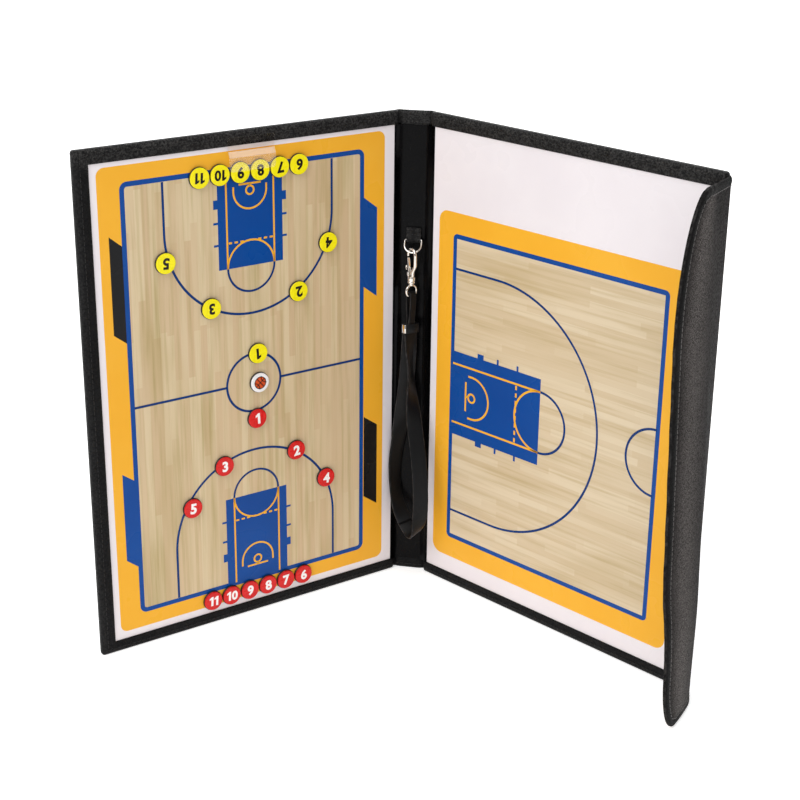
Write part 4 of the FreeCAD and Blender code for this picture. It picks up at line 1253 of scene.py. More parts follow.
class Print:
    """Ink films of one court, drawn across and up from the white field's foot at the fold."""

    def __init__(self, name):
        self.side = SIDE[name]
        self.mesher = Mesher()

    def film(self, points, faces, layer, ink):
        """Add a film of ink over points of the field."""
        height = COURT_FACE + layer * FILM
        spots = [(self.side * (FIELD_START + across), FIELD_FOOT + up, height) for across, up in points]
        if self.side < 0:
            faces = [face[::-1] for face in faces]
        self.mesher.add(spots, faces, ink)

    def fill(self, outline, layer, ink):
        """Add a filled outline."""
        self.film(outline, [list(range(len(outline)))], layer, ink)

    def line(self, points, width, layer, ink, closed=False):
        """Add a line of even width."""
        self.film(*stroke([Vector(point) for point in points], width, closed), layer, ink)


class Baseline:
    """Middle of a court's baseline, the way out into the court and the way along the line."""

    def __init__(self, middle, out, along):
        self.middle, self.out, self.along = Vector(middle), Vector(out), Vector(along)

    def spot(self, out, along):
        """Place at a distance out from the baseline and along it."""
        return self.middle + self.out * out + self.along * along


def court_ground(court, surround, floor, frame_line):
    """Orange surround, wooden floor and blue frame: left, foot, right, head and corner of each."""
    court.fill(rounded_field(*surround), SURROUND, ORANGE)
    court.fill(rounded_field(*floor), FLOOR, WOOD)
    court.line(rounded_field(*frame_line), FRAME_LINE, LINES, BLUE, closed=True)


def court_key(court, spot, scale):
    """Key of one end with its lane lines, blocks and ticks, its circle and its dashes."""
    lane, key, free, ring = scale["lane"], scale["key"], scale["free"], scale["ring"]
    mark, blue, rise = scale["mark"], scale["blue"], scale["block_rise"]
    block_start, block_end = scale["block"]
    court.fill([spot(0, -key), spot(free, -key), spot(free, key), spot(0, key)], KEY_FIELD, BLUE)
    for way in (-1, 1):
        near, far, tip = way * key, way * (key + rise), way * (key + rise * 1.1)
        court.line([spot(0, way * lane), spot(free, way * lane)], mark, MARKS, ORANGE)
        block = [spot(block_start, near), spot(block_end, near)]
        block += [spot(block_end, far), spot(block_start, far)]
        court.fill(block, KEY_FIELD, BLUE)
        for tick in scale["ticks"]:
            court.line([spot(tick, near), spot(tick, tip)], blue, KEY_FIELD, BLUE)
    inside = [spot(free - ring * math.sin(a), ring * math.cos(a)) for a in half_turn()]
    outside = [spot(free + ring * math.sin(a), ring * math.cos(a)) for a in half_turn()]
    court.line(inside, mark, MARKS, ORANGE)
    court.line(outside, blue, LINES, NAVY)
    dashes, dash_place, half_dash = 8, scale["dash"], lane * 0.07
    for index in range(dashes):
        middle = (index - (dashes - 1) / 2) * (2 * lane / dashes)
        dash = [spot(dash_place, middle - half_dash), spot(dash_place, middle + half_dash)]
        court.line(dash, mark, DASHES, ORANGE)


def court_hoop(court, spot, scale):
    """Backboard, hoop and the arcs round them at one end."""
    board, half_board, mark = scale["board"], scale["half_board"], scale["mark"]
    hoop, hoop_ring, charge = scale["hoop"], scale["hoop_ring"], scale["charge"]
    court.line([spot(board, -half_board), spot(board, half_board)], mark, MARKS, ORANGE)
    circle = [spot(hoop + hoop_ring * math.cos(a), hoop_ring * math.sin(a)) for a in full_turn()]
    court.line(circle, mark, MARKS, ORANGE, closed=True)
    court.line([spot(board, 0), spot(hoop - hoop_ring, 0)], mark, MARKS, ORANGE)
    near = [spot(hoop + charge * math.sin(a), charge * math.cos(a)) for a in half_turn()]
    near = [spot(hoop - CHARGE_TAIL, charge)] + near + [spot(hoop - CHARGE_TAIL, -charge)]
    court.line(near, mark, MARKS, ORANGE)
    reach, middle, start = scale["arc"], scale["arc_middle"], scale["arc_start"]
    turn = half_turn(scale["arc_steps"])
    curve = [spot(middle + reach * math.sin(a), reach * math.cos(a)) for a in turn]
    court.line([spot(start, reach)] + curve + [spot(start, -reach)], COURT_LINE, LINES, NAVY)


def finish_print(court, name):
    """Set the printed court on its board."""
    inks = [COURT_ORANGE, COURT_BLUE, COURT_NAVY, COURT_BLACK, PLANKS[name]]
    made = court.mesher.piece(f"{name}_court_print", inks, BOARDS[name], smooth=False)
    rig.slot(made, "court")
    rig.ride(made, f"{name}_cover")


def full_court():
    """Print of the left board: a full court with bare banners on its orange surround."""
    court = Print("left")
    middle, half_way, ring = 104.0, 150.6, 18.9
    surround, floor = (7.6, 4.6, 201.9, 297.2, 5.0), (24.2, 15.6, 186.8, 286.0, 3.0)
    court_ground(court, surround, floor, (24.4, 15.6, 186.6, 286.1, 3.2))
    for ink, outline in BANNERS:
        court.fill(outline, FLOOR, ink)
    for start, end in ((25.7, middle - ring), (middle + ring, 185.3)):
        court.line([(start, half_way), (end, half_way)], COURT_LINE, LINES, NAVY)
    circle = [(middle + ring * math.cos(a), half_way + ring * math.sin(a)) for a in full_turn(64)]
    court.line(circle, COURT_LINE, LINES, NAVY, closed=True)
    for way, level in ((1, 16.2), (-1, 285.4)):
        base = Baseline((middle, level), (0, way), (1, 0))
        court_key(court, base.spot, FULL_END)
        court_hoop(court, base.spot, FULL_END)
    finish_print(court, "left")


def half_court():
    """Print of the right board: a half court lying on its side under a bare white head."""
    court = Print("right")
    half_way, ring = 160.9, 21.0
    surround, floor = (5.7, 12.0, 197.5, 249.2, 7.0), (19.4, 27.7, 181.9, 234.3, 1.6)
    court_ground(court, surround, floor, (19.55, 27.85, 181.75, 234.15, 1.8))
    base = Baseline((20.25, 130.0), (1, 0), (0, -1))
    court_key(court, base.spot, HALF_END)
    court_hoop(court, base.spot, HALF_END)
    centre = [base.spot(half_way - ring * math.sin(a), ring * math.cos(a)) for a in half_turn(48)]
    court.line(centre, COURT_LINE, LINES, NAVY)
    finish_print(court, "right")


full_court()
half_court()


# Magnetic discs. Places are from the middle of the left court.

FIELD_MIDDLE, BOARD_MIDDLE = 108.425, 157.5
TEAM_PLACES = {
    "yellow": [(-1.6, 19.5), (-31.1, 54.5), (29.7, 53.75), (-52.8, 82.5), (58.7, 86.5)],
    "red": [(-0.1, -23.25), (-28.1, -51.25), (23.9, -50.25), (-50.3, -75.75), (46.9, -73.25)],
}
# Face, numeral and turn of each team's discs.
TEAM_FINISHES = {"yellow": (DISC_YELLOW, NUMERAL_BLACK, 180), "red": (DISC_RED, NUMERAL_WHITE, 0)}
# The other numbers stand in a row: its height over the foot, its middle and its pitch.
ROW_NUMBERS = range(6, 12)
ROW_LEVEL = {"yellow": 291.5, "red": 16.25}
ROW_MIDDLE, ROW_PITCH = 1.3, 13.45
BALL_PLACE, BALL_TURN = (-2.3, 0.25), 40
DISC_SIDES = 56
DISC_INK = 0.012
# Numbers of a disc's finishes.
CAP, MAGNET, PRINT_INK, SEAM_INK = range(4)
GLYPH_HEIGHT, GLYPH_GAP = 7.2, 0.75


def numeral_one():
    """Upright stem with a slanting flag, as points and faces."""
    corners = [(-0.3, 0), (1.45, 0), (1.45, GLYPH_HEIGHT), (0.1, GLYPH_HEIGHT)]
    corners += [(-1.7, 5.9), (-1.7, 4.5), (-0.3, 5.2)]
    return [Vector((x, y, 0)) for x, y in corners], [[0, 1, 2, 3, 6], [3, 4, 5, 6]]


def numeral_glyph(digit):
    """Points and faces of one bold numeral of the built-in face, standing on the line at the origin."""
    if digit == "1":
        return numeral_one()
    turned = digit == "9"
    data = bpy.data.curves.new("numeral", "FONT")
    data.body = "6" if turned else digit
    data.size = 10.0
    data.offset = 0.42
    data.resolution_u = 6
    points, faces = curve_mesh("numeral", data)
    if turned:
        points = [Vector((-point.x, -point.y, 0)) for point in points]
    return points, faces


def span(points):
    """Lowest and highest corner of points."""
    low = Vector([min(point[axis] for point in points) for axis in range(3)])
    high = Vector([max(point[axis] for point in points) for axis in range(3)])
    return low, high


def numeral_shape(text, height):
    """Points and faces of a number about the origin, in millimetres, its numerals side by side."""
    points, faces, reach = [], [], 0.0
    for digit in text:
        glyph, glyph_faces = numeral_glyph(digit)
        low, high = span(glyph)
        share = GLYPH_HEIGHT / (high.y - low.y)
        shift = Vector((reach - low.x * share, -low.y * share, 0))
        faces += [[len(points) + corner for corner in face] for face in glyph_faces]
        points += [point * share + shift for point in glyph]
        reach += (high.x - low.x) * share + GLYPH_GAP
    low, high = span(points)
    return [(point - (low + high) / 2) * (height / GLYPH_HEIGHT) for point in points], faces


def disc_body(mesher):
    """Disc with a dark magnet foot and a coloured cap whose rim is rounded."""
    magnet, cap_inset, cap_round, hub = 1.2, 0.28, 0.4, 0.4
    radius = DISC_RADIUS
    foot = [(hub, 0.0), (radius - 0.2, 0.0), (radius, 0.15), (radius, magnet)]
    lathe(mesher, foot, DISC_SIDES, MAGNET)
    radius -= cap_inset
    shoulder = DISC_DEPTH - cap_round
    cap = [(radius, magnet), (radius, shoulder)]
    for angle in quarter_turn(5)[1:]:
        cap.append((radius - cap_round * (1 - math.cos(angle)), shoulder + cap_round * math.sin(angle)))
    cap += [(radius - 0.9, DISC_DEPTH), (hub, DISC_DEPTH)]
    lathe(mesher, cap, DISC_SIDES, CAP)


def seat_disc(made, node, across, up, turn):
    """Stand a disc on the left court where its node is."""
    spot = Vector((-(FIELD_MIDDLE + across), up, COURT_FACE + DISC_LIFT))
    turned = Matrix.Rotation(math.radians(turn), 4, "Z")
    made.matrix_world = BOARDS["left"] @ Matrix.Translation(spot * MM) @ turned
    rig.ride(made, node)
    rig.replaces(made, node)


def numbered_disc(colour, number, across, up):
    """One numbered disc of a team, set down a little askew."""
    face, ink, facing = TEAM_FINISHES[colour]
    mesher = Mesher()
    disc_body(mesher)
    points, faces = numeral_shape(str(number), 7.0 if number < 10 else 6.4)
    mesher.add([point + UP * (DISC_DEPTH + FILM) for point in points], faces, PRINT_INK)
    made = mesher.piece(f"{colour}_numbered_disc_{number}", [face, MAGNET_DARK, ink])
    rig.slot(made, colour)
    askew = 4.0 * math.sin(7.3 * number)
    seat_disc(made, f"{colour}_disc_{number}", across, up, askew + facing)


def ball_disc():
    """White disc with a printed ball and its seams."""
    mesher = Mesher()
    disc_body(mesher)
    ball = 3.9
    level = DISC_DEPTH + DISC_INK
    outline = [Vector((math.cos(a), math.sin(a))) * ball for a in full_turn(48)]
    mesher.add([Vector((x, y, level)) for x, y in outline], [list(range(len(outline)))], PRINT_INK)
    seams = [[Vector((-ball, 0)), Vector((ball, 0))], [Vector((0, -ball)), Vector((0, ball))]]
    bow, away = ball * 1.05, ball * 1.55
    turn = [math.radians(angle) for angle in between(-46, 46, 16)]
    for way in (-1, 1):
        seams.append([Vector((way * (away - bow * math.cos(a)), bow * math.sin(a))) for a in turn])
    strokes = [stroke(seam, 0.55) for seam in seams] + [stroke(outline, 0.5, closed=True)]
    for points, faces in strokes:
        mesher.add([Vector((x, y, level + DISC_INK)) for x, y in points], faces, SEAM_INK)
    made = mesher.piece("ball_marker_disc", [DISC_WHITE, MAGNET_DARK, BALL_ORANGE, NUMERAL_BLACK])
    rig.slot(made, "white")
    seat_disc(made, "ball_disc", BALL_PLACE[0], BOARD_MIDDLE + BALL_PLACE[1], BALL_TURN)


def all_discs():
    """Both teams and the ball."""
    middle = (ROW_NUMBERS[0] + ROW_NUMBERS[-1]) / 2
    for colour, places in TEAM_PLACES.items():
        for number, (across, up) in enumerate(places, start=1):
            numbered_disc(colour, number, across, BOARD_MIDDLE + up)
        for number in ROW_NUMBERS:
            numbered_disc(colour, number, ROW_MIDDLE + (number - middle) * ROW_PITCH, ROW_LEVEL[colour])
    ball_disc()


all_discs()


# Clear tab at the head of the left court.

TAB_HALF, TAB_THICKNESS, TAB_CORNER = 15.5, 0.4, 2.0
TAB_HEAD, TAB_FOOT = 312.5, 292.5
# Levels of the two bends, and the tab's height over the cover's back before and after them.
TAB_BENDS = (304.6, 301.0)
TAB_STUCK, TAB_STAND = 5.25, 6.97
# Levels at which the finish changes from stuck to the bend's painted highlight and from it to standing off.
TAB_ZONES = (304.0, 300.7)


def tab_rim(rows, columns):
    """Corners round the tab's edge, in order."""
    rim = [row * columns for row in range(rows)]
    rim += [(rows - 1) * columns + column for column in range(1, columns)]
    rim += [row * columns + columns - 1 for row in range(rows - 2, -1, -1)]
    return rim + list(range(columns - 2, 0, -1))


def clear_tab():
    """Bent clear sheet with rounded lower corners, stuck to the border above the top row of discs."""
    upper, lower = TAB_BENDS
    run = [(TAB_HEAD, TAB_STUCK), (upper, TAB_STUCK), (lower, TAB_STAND), (TAB_FOOT, TAB_STAND)]
    line = bent_path([Vector((0, level, height)) for level, height in run], [1.5, 1.5], 6)
    line[-1:-1] = [Vector((0, level, TAB_STAND)) for level in (298.0, 295.0, 294.0, 293.2, 292.7)]
    zones = [sum(point.y <= edge for edge in TAB_ZONES) for point in line[1:]]
    rows, columns = len(line), 13
    outer, inner = [], []
    for point, along in zip(line, path_tangents(line)):
        out = RIGHT.cross(along) * (TAB_THICKNESS / 2)
        drop = max(0.0, TAB_FOOT + TAB_CORNER - point.y) / TAB_CORNER
        half = TAB_HALF - TAB_CORNER * (1 - math.sqrt(max(0.0, 1 - drop ** 2)))
        for across in between(-half, half, columns - 1):
            spot = point + RIGHT * (across - FIELD_MIDDLE)
            outer.append(spot - out)
            inner.append(spot + out)
    total = rows * columns
    faces = skin_faces(rows, columns)
    rim = tab_rim(rows, columns)
    for corner, after in zip(rim, rim[1:] + rim[:1]):
        faces.append([after, corner, total + corner, total + after])
    by_row = [zone for zone in zones for column in range(columns - 1)]
    mesher = Mesher()
    mesher.add(outer + inner, faces, by_row + by_row + [len(TAB_ZONES)] * len(rim))
    made = mesher.piece("clear_pull_tab", [CLEAR_PLASTIC, BEND_HIGHLIGHT_PLASTIC, HAZY_PLASTIC], BOARDS["left"])
    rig.slot(made, "clear")
    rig.ride(made, "left_cover")
    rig.replaces(made, "clear_tab")


clear_tab()


# Closing flap: one sheet of leather from the back of the right cover round its fore-edge.

FLAP_LEAN = -FOLD_TURN["right"]
# Turn of each fold at the flap's foot and at its head, and half the run over which it bends.
STRIP_TURNS = (47.5, 76.3)
TONGUE_TURNS = (29.2, 0.2)
STRIP_BEND, TONGUE_BEND = 3.2, 4.0
# Run along the flap and rise of its rounded corners.
FOOT_CORNER = (15.8, 36.0)
HEAD_CORNER = (30.2, 85.8)
# Width of the turned edge outside the seam, and its steps.
FLAP_BAND = 4.6
BAND_STEPS = 4
# Turn added to each fold in the lowest part of the flap, which is drawn in at its foot, and its height.
STRIP_PINCH = (6.5, 75.0)
TONGUE_PINCH = (-13.0, 98.0)
# Start of the sheet before its first fold, step along it, and its lines that are worked out already.
FLAP_START = -7.0
FLAP_STEP = 0.4
FLAP_LINES = {}
# Numbers of the flap's finishes: panel, lining, outer seam with its painted highlight, turned edge and inner seam.
PANEL, LINED, SEAM, TURNED, INNER_SEAM = range(5)


def fold_turn(turns, pinch, level):
    """Turn of one of the flap's folds at a height."""
    turn = turns[0] + (turns[1] - turns[0]) * level / COVER_HEIGHT
    added, height = pinch
    return turn + eased([(0, added), (height, 0), (400, 0)], level)


def bend_share(run, middle, half):
    """Share of a fold's turn that is done at a run along the flap."""
    return eased([(0, 0), (1, 1)], within((run - middle + half) / (2 * half), 0, 1))


def flap_heading(run, level):
    """Direction of the flap's outer face in degrees, at a run past its first fold and a height."""
    first = bend_share(run, 0, STRIP_BEND) * fold_turn(STRIP_TURNS, STRIP_PINCH, level)
    second = bend_share(run, STRIP_RUN, TONGUE_BEND) * fold_turn(TONGUE_TURNS, TONGUE_PINCH, level)
    curl = math.degrees(max(run - STRIP_RUN, 0) / TONGUE_CURL)
    return FLAP_LEAN + first + second + curl


def flap_line(level):
    """Places and directions of the flap's outer face at one height, in short steps."""
    turn = math.radians(FLAP_LEAN)
    spot = Vector((HALF_SPINE, 0, level))
    spot += Vector((math.cos(turn), -math.sin(turn), 0)) * (FLAP_FOLD + FLAP_START)
    line = []
    run = FLAP_START
    while run < STRIP_RUN + TONGUE_LENGTH + 1:
        heading = math.radians(flap_heading(run, level))
        along = Vector((math.cos(heading), -math.sin(heading), 0))
        line.append((spot.copy(), along))
        spot = spot + along * FLAP_STEP
        run += FLAP_STEP
    return line


def flap_spot(run, level):
    """Place, direction and inward side of the flap's outer face."""
    key = round(level, 3)
    if key not in FLAP_LINES:
        FLAP_LINES[key] = flap_line(level)
    line = FLAP_LINES[key]
    share = (run - FLAP_START) / FLAP_STEP
    index = within(int(share), 0, len(line) - 2)
    spot = line[index][0].lerp(line[index + 1][0], share - index)
    along = line[index][1].lerp(line[index + 1][1], within(share - index, 0, 1)).normalized()
    return spot, along, along.cross(UP)


def flap_reach(level, inset=0.0):
    """Run of the flap at a height: its free edge, rounded off at head and foot."""
    full = STRIP_RUN + TONGUE_LENGTH - inset
    low, high = FLAP_FOOT + inset, FLAP_HEAD - inset
    for (run, rise), gap in ((FOOT_CORNER, level - low), (HEAD_CORNER, high - level)):
        past = rise - inset - gap
        if past > 0:
            return full - (run - inset) * (1 - math.sqrt(max(0.0, 1 - (past / (rise - inset)) ** 2)))
    return full


def flap_levels(count):
    """Heights of the flap's rows: a few in the turned edges, the rest closer near head and foot."""
    low, high = FLAP_FOOT + FLAP_BAND, FLAP_HEAD - FLAP_BAND
    edge = between(0, FLAP_BAND, BAND_STEPS)[:-1]
    inside = []
    for share in between(0, 1, count):
        bunched = (1 - math.cos(math.pi * share)) / 2
        inside.append(low + (high - low) * (0.65 * bunched + 0.35 * share))
    return [FLAP_FOOT + rise for rise in edge] + inside + [FLAP_HEAD - rise for rise in reversed(edge)]


def flap_runs(level, start, end, columns):
    """Runs of the points of one row. A row to the free edge ends with points in the turned edge."""
    if end is not None:
        return between(start, end, columns - 1)
    inside = within(level, FLAP_FOOT + FLAP_BAND, FLAP_HEAD - FLAP_BAND)
    ripple = 0.3 * math.sin(0.85 * level) * math.sin(math.pi * level / COVER_HEIGHT)
    edge = flap_reach(level) + ripple
    seam = min(flap_reach(inside, FLAP_BAND), edge - 0.6)
    return between(start, seam, columns - BAND_STEPS - 1) + between(seam, edge, BAND_STEPS)[1:]


def flap_thickness(run):
    """Thickness of the flap: two skins at the fore-edge, a board between them in the tongue."""
    return eased([(-8, 1.2), (4, 1.5), (STRIP_RUN - 1, 1.5), (STRIP_RUN + 6, 2.5), (70, 2.5)], run)


def edge_gap(run, level):
    """Distance of a place on the flap from the nearest of its free edges."""
    return max(min(flap_reach(level) - run, level - FLAP_FOOT, FLAP_HEAD - level), 0.0)


def edge_roll(run, level):
    """How far each skin draws in towards the other at the flap's free edges."""
    return 0.45 * (1 - min(edge_gap(run, level) / 3.0, 1)) ** 2


def flap_rise(run, level):
    """Rise of the outer leather: a rolled edge, a groove along the seam and a padded panel inside it."""
    gap = edge_gap(run, level)
    if gap < FLAP_BAND:
        return 0.4 * math.sin(math.pi * gap / FLAP_BAND) - 0.7 * edge_roll(run, level)
    swell = min((gap - FLAP_BAND) / 9.0, 1.0)
    past_fold = within((run - STRIP_RUN + 3.0) / 12.0, 0.0, 1.0)
    return 0.75 * swell * (2 - swell) * past_fold


def panel_rub(run, level):
    """Painted sheen of the flap's panel: strongest across its middle, a little past halfway to the seam, and somewhat
    stronger towards head and foot.
    """
    start = STRIP_RUN - 1.5
    share = (run - start) / (flap_reach(level, FLAP_BAND) - start)
    sheen_across = math.sin(math.pi * within(share, 0.0, 1.0) ** 1.6)
    return sheen_across * (0.8 + 0.2 * abs(2 * level / COVER_HEIGHT - 1))


def flap_skins(start, end, columns):
    """Points of the flap's outer and inner skin, row by row, and the outer skin's painted sheen."""
    outer, inner, rubs = [], [], []
    for level in flap_levels(70):
        for run in flap_runs(level, start, end, columns):
            spot, along, inward = flap_spot(run, level)
            outer.append(spot - inward * flap_rise(run, level))
            inner.append(spot + inward * (flap_thickness(run) - edge_roll(run, level)))
            rubs.append(panel_rub(run, level))
    return outer, inner, rubs


def flap_finishes(rows, columns, free_edge):
    """Number of the finish of each face of the outer skin: the panel, or the turned edge round it."""
    finishes = []
    for row in range(rows - 1):
        for column in range(columns - 1):
            at_end = row < BAND_STEPS or row >= rows - 1 - BAND_STEPS
            at_side = free_edge and column >= columns - 1 - BAND_STEPS
            finishes.append(TURNED if at_end or at_side else PANEL)
    return finishes


def flap_rims(rows, columns, free_edge):
    """Corners along the edges of the flap that show, as one line round the free edge or as two."""
    foot = list(range(columns))
    head = [(rows - 1) * columns + column for column in reversed(range(columns))]
    if not free_edge:
        return [foot, head]
    fore_edge = [row * columns + columns - 1 for row in range(1, rows - 1)]
    return [foot + fore_edge + head]


def rolled_rim(mesher, outer, inner, rim, columns, free_edge):
    """Rounded edge between the flap's two skins along a line of corners."""
    rows = len(outer) // columns
    last = columns - 2 if free_edge else columns - 1
    swell = []
    for corner in rim:
        row, column = divmod(corner, columns)
        inside = within(row, 1, rows - 2) * columns + min(column, last)
        away = (outer[corner] - outer[inside]).normalized()
        swell.append((outer[corner] + inner[corner]) / 2 + away * 0.45)
    points = [outer[corner] for corner in rim] + swell + [inner[corner] for corner in rim]
    mesher.add(points, grid_faces(3, len(rim)), TURNED, 0.8)


def seam_lines(start, end):
    """Runs and heights along the seam: round the free edge, or along head and foot of the strip."""
    low, high = FLAP_FOOT + FLAP_BAND, FLAP_HEAD - FLAP_BAND
    if end is not None:
        return [[(run, level) for run in between(start + 6, end, 10)] for level in (low, high)]
    foot_end, head_end = flap_reach(low, FLAP_BAND), flap_reach(high, FLAP_BAND)
    spots = [(run, low) for run in between(start + 0.5, foot_end, 10)[:-1]]
    spots += [(flap_reach(level, FLAP_BAND), level) for level in between(low, high, 160)]
    spots += [(run, high) for run in between(head_end, start, 10)[1:]]
    return [spots]


def flap_stitches(mesher, start, end):
    """Stitches along the seam on both faces of the flap."""
    for spots in seam_lines(start, end):
        for thread, inside in ((SEAM, False), (INNER_SEAM, True)):
            path, outs = [], []
            for run, level in spots:
                spot, along, inward = flap_spot(run, level)
                path.append(spot + inward * flap_thickness(run) if inside else spot)
                outs.append(inward if inside else -inward)
            stitch_line(mesher, path, outs, thread, 3.0, 2.8, 0.5)


def flap_sheet(name, start, end, columns):
    """One length of the flap, with rolled edges and stitches. With no end it runs to the free edge."""
    free_edge = end is None
    outer, inner, rubs = flap_skins(start, end, columns)
    rows = len(outer) // columns
    mesher = Mesher()
    finishes = flap_finishes(rows, columns, free_edge)
    mesher.add(outer, grid_faces(rows, columns, flip=True), finishes, rubs)
    mesher.add(inner, grid_faces(rows, columns), LINED)
    for rim in flap_rims(rows, columns, free_edge):
        rolled_rim(mesher, outer, inner, rim, columns, free_edge)
    flap_stitches(mesher, start, end)
    return mesher.piece(name, [FLAP_LEATHER, SMOOTH_LINING, SEAM_HIGHLIGHT_THREAD, FLAP_EDGE, THREAD])


def closing_flap():
    """Flap in two lengths, each bending over one fold."""
    half_way = STRIP_RUN / 2
    root = flap_sheet("flap_root_sheet", -5.0, half_way, 26)
    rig.slot(root, "leather")
    before = flap_spot(-3.0, COVER_HEIGHT / 2)[0]
    after = flap_spot(3.0, COVER_HEIGHT / 2)[0]
    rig.blend(root, "right_cover", "flap_strip", before * MM, after * MM)
    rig.replaces(root, "flap_strip_leather", "flap_strip_lining")
    tongue = flap_sheet("flap_tongue_sheet", half_way, None, 48)
    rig.slot(tongue, "leather")
    before = flap_spot(STRIP_RUN - 5.0, COVER_HEIGHT / 2)[0]
    after = flap_spot(STRIP_RUN + 5.0, COVER_HEIGHT / 2)[0]
    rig.blend(tongue, "flap_strip", "flap_tongue", before * MM, after * MM)
    nodes = ["flap_tongue_leather", "flap_tongue_lining", "flap_tongue_stiffener", "flap_magnets"]
    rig.replaces(tongue, *nodes)


closing_flap()


# Leather loop, D-ring, snap hook and swivel eye.

# Loop's line, back and up from the ring's bar.
LOOP_RUN = [(1.05, 7.7), (1.05, -1.12), (-1.12, -1.12), (-1.12, 1.2), (0.18, 2.9), (0.18, 7.6)]
RING_LEAN, RING_WIRE = -36.5, 0.6
CLAW_BOW, CLAW_CROWN = 4.0, 2.5
PIVOT = Vector((-2.2, 0, -14.5))
PIN_TURN = Matrix.Rotation(math.pi / 2, 4, "X")
LEAF_RUN = [(-0.1, -15.75), (-0.1, -13.4), (-1.95, -9.25)]
KNOB_REACH = 2.7
# Turned profiles as (radius, height) pairs.
BARREL = [
    (1.2, -20.0), (2.3, -20.0), (2.62, -19.8), (2.7, -19.4), (2.7, -18.9),
    (2.45, -18.7), (2.4, -18.4), (2.62, -18.15), (2.7, -17.8), (2.7, -16.1),
    (2.58, -15.85), (2.2, -15.7), (1.2, -15.66), (0.3, -15.65),
]
CHEEK = [(0.3, -0.46), (1.5, -0.46), (1.68, -0.3), (1.7, 0.3), (1.5, 0.46), (0.3, 0.46)]
RIVET_END = [(0.55, 1.86), (0.7, 1.9), (0.45, 2.05), (0.12, 2.12)]
EYE_STEM = [
    (0.4, -21.5), (1.6, -21.5), (1.85, -21.3), (1.9, -20.6), (1.75, -20.3), (1.1, -20.2),
    (1.1, -18.4), (1.55, -18.3), (1.6, -17.6), (1.3, -17.4), (0.3, -17.35),
]


def upright(pairs):
    """Points across and up in a hanging piece's own plane."""
    return [Vector((across, 0, up)) for across, up in pairs]


def strap_loop():
    """Leather loop folded round the ring's bar and sewn to the spine."""
    line = bent_path([Vector((0, back, up)) for back, up in LOOP_RUN], [1.08, 1.08, 1.2, 1.2], 7)
    line.insert(-1, Vector((0, 0.18, 5.2)))
    half = 4.6
    bevel = half - 0.25
    section = [(half, -0.2), (half, 0.2), (bevel, 0.4), (0, 0.42), (-bevel, 0.4), (-half, 0.2)]
    section += [(-half, -0.2), (-bevel, -0.4), (0, -0.4), (bevel, -0.4)]
    rubs = [1.0 if abs(wide) > half - 0.3 else 0.0 for wide, high in section]
    mesher = Mesher()
    swept(mesher, line, section, RIGHT, rubs)
    for level in (3.6, 6.6):
        path = [Vector((across, -0.25, level)) for across in between(-3.4, 3.4, 8)]
        stitch_line(mesher, path, [-BACK] * len(path), 1, 1.9, 1.5, 0.35)
    made = mesher.piece("ring_leather_loop", [COVER_LEATHER, THREAD], Matrix.Translation(RING_BAR * MM))
    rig.slot(made, "leather")
    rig.ride(made, "spine")
    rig.replaces(made, "strap_loop")


def d_ring():
    """Polished wire ring, D-shaped, hanging from its bar."""
    bow, drop = 5.4, 8.83
    corners = upright([(0, 0), (bow, 0), (bow, -drop), (-bow, -drop), (-bow, 0), (-0.05, 0)])
    line = bent_path(corners, [0.9, bow - 0.01, bow - 0.01, 0.9], 20)
    mesher = Mesher()
    tube(mesher, line, [RING_WIRE] * len(line), 18, BACK, closed=True)
    place = Matrix.Translation(RING_BAR * MM) @ Matrix.Rotation(math.radians(RING_LEAN), 4, "X")
    made = mesher.piece("d_ring_wire", [NICKEL], place)
    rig.slot(made, "nickel")
    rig.ride(made, "d_ring")
    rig.replaces(made, "d_ring")


def hook_body():
    """Cast hook: tapered claw with a rounded beak, ringed barrel and the gate's forked lug."""
    route = [(1.3, -16.6), (1.3, -12.5), (CLAW_BOW, -8.0), (CLAW_BOW, CLAW_CROWN)]
    route += [(-CLAW_BOW, CLAW_CROWN), (-CLAW_BOW, -3.15)]
    line = bent_path(upright(route), [2.5, 2.5, CLAW_BOW - 0.01, CLAW_BOW - 0.01], 16)
    tip = line[-1]
    line[-1:] = [tip + UP * 0.55, tip + UP * 0.25, tip + UP * 0.08, tip]
    shares = along_shares(line)[0]
    radii = [1.15 - 0.2 * share + 0.06 * math.sin(6 * share) for share in shares]
    radii[-3:] = [0.85, 0.66, 0.3]
    mesher = Mesher()
    tube(mesher, line, radii, 20, BACK)
    lathe(mesher, BARREL, 36)
    for way in (-1, 1):
        place = Matrix.Translation(PIVOT + BACK * (way * 1.42)) @ PIN_TURN
        lathe(mesher, CHEEK, 28, place=place)
    made = mesher.piece("hook_casting", [NICKEL], HOOK_FRAME)
    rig.slot(made, "nickel")
    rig.ride(made, "snap_hook")
    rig.replaces(made, "hook_body")


def gate_pin():
    """Riveted pin of the gate."""
    profile = [(radius, -height) for radius, height in reversed(RIVET_END)] + RIVET_END
    mesher = Mesher()
    lathe(mesher, profile, 24, place=Matrix.Translation(PIVOT) @ PIN_TURN)
    made = mesher.piece("gate_rivet", [NICKEL], HOOK_FRAME)
    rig.slot(made, "nickel")
    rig.ride(made, "snap_hook")
    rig.replaces(made, "gate_pin")


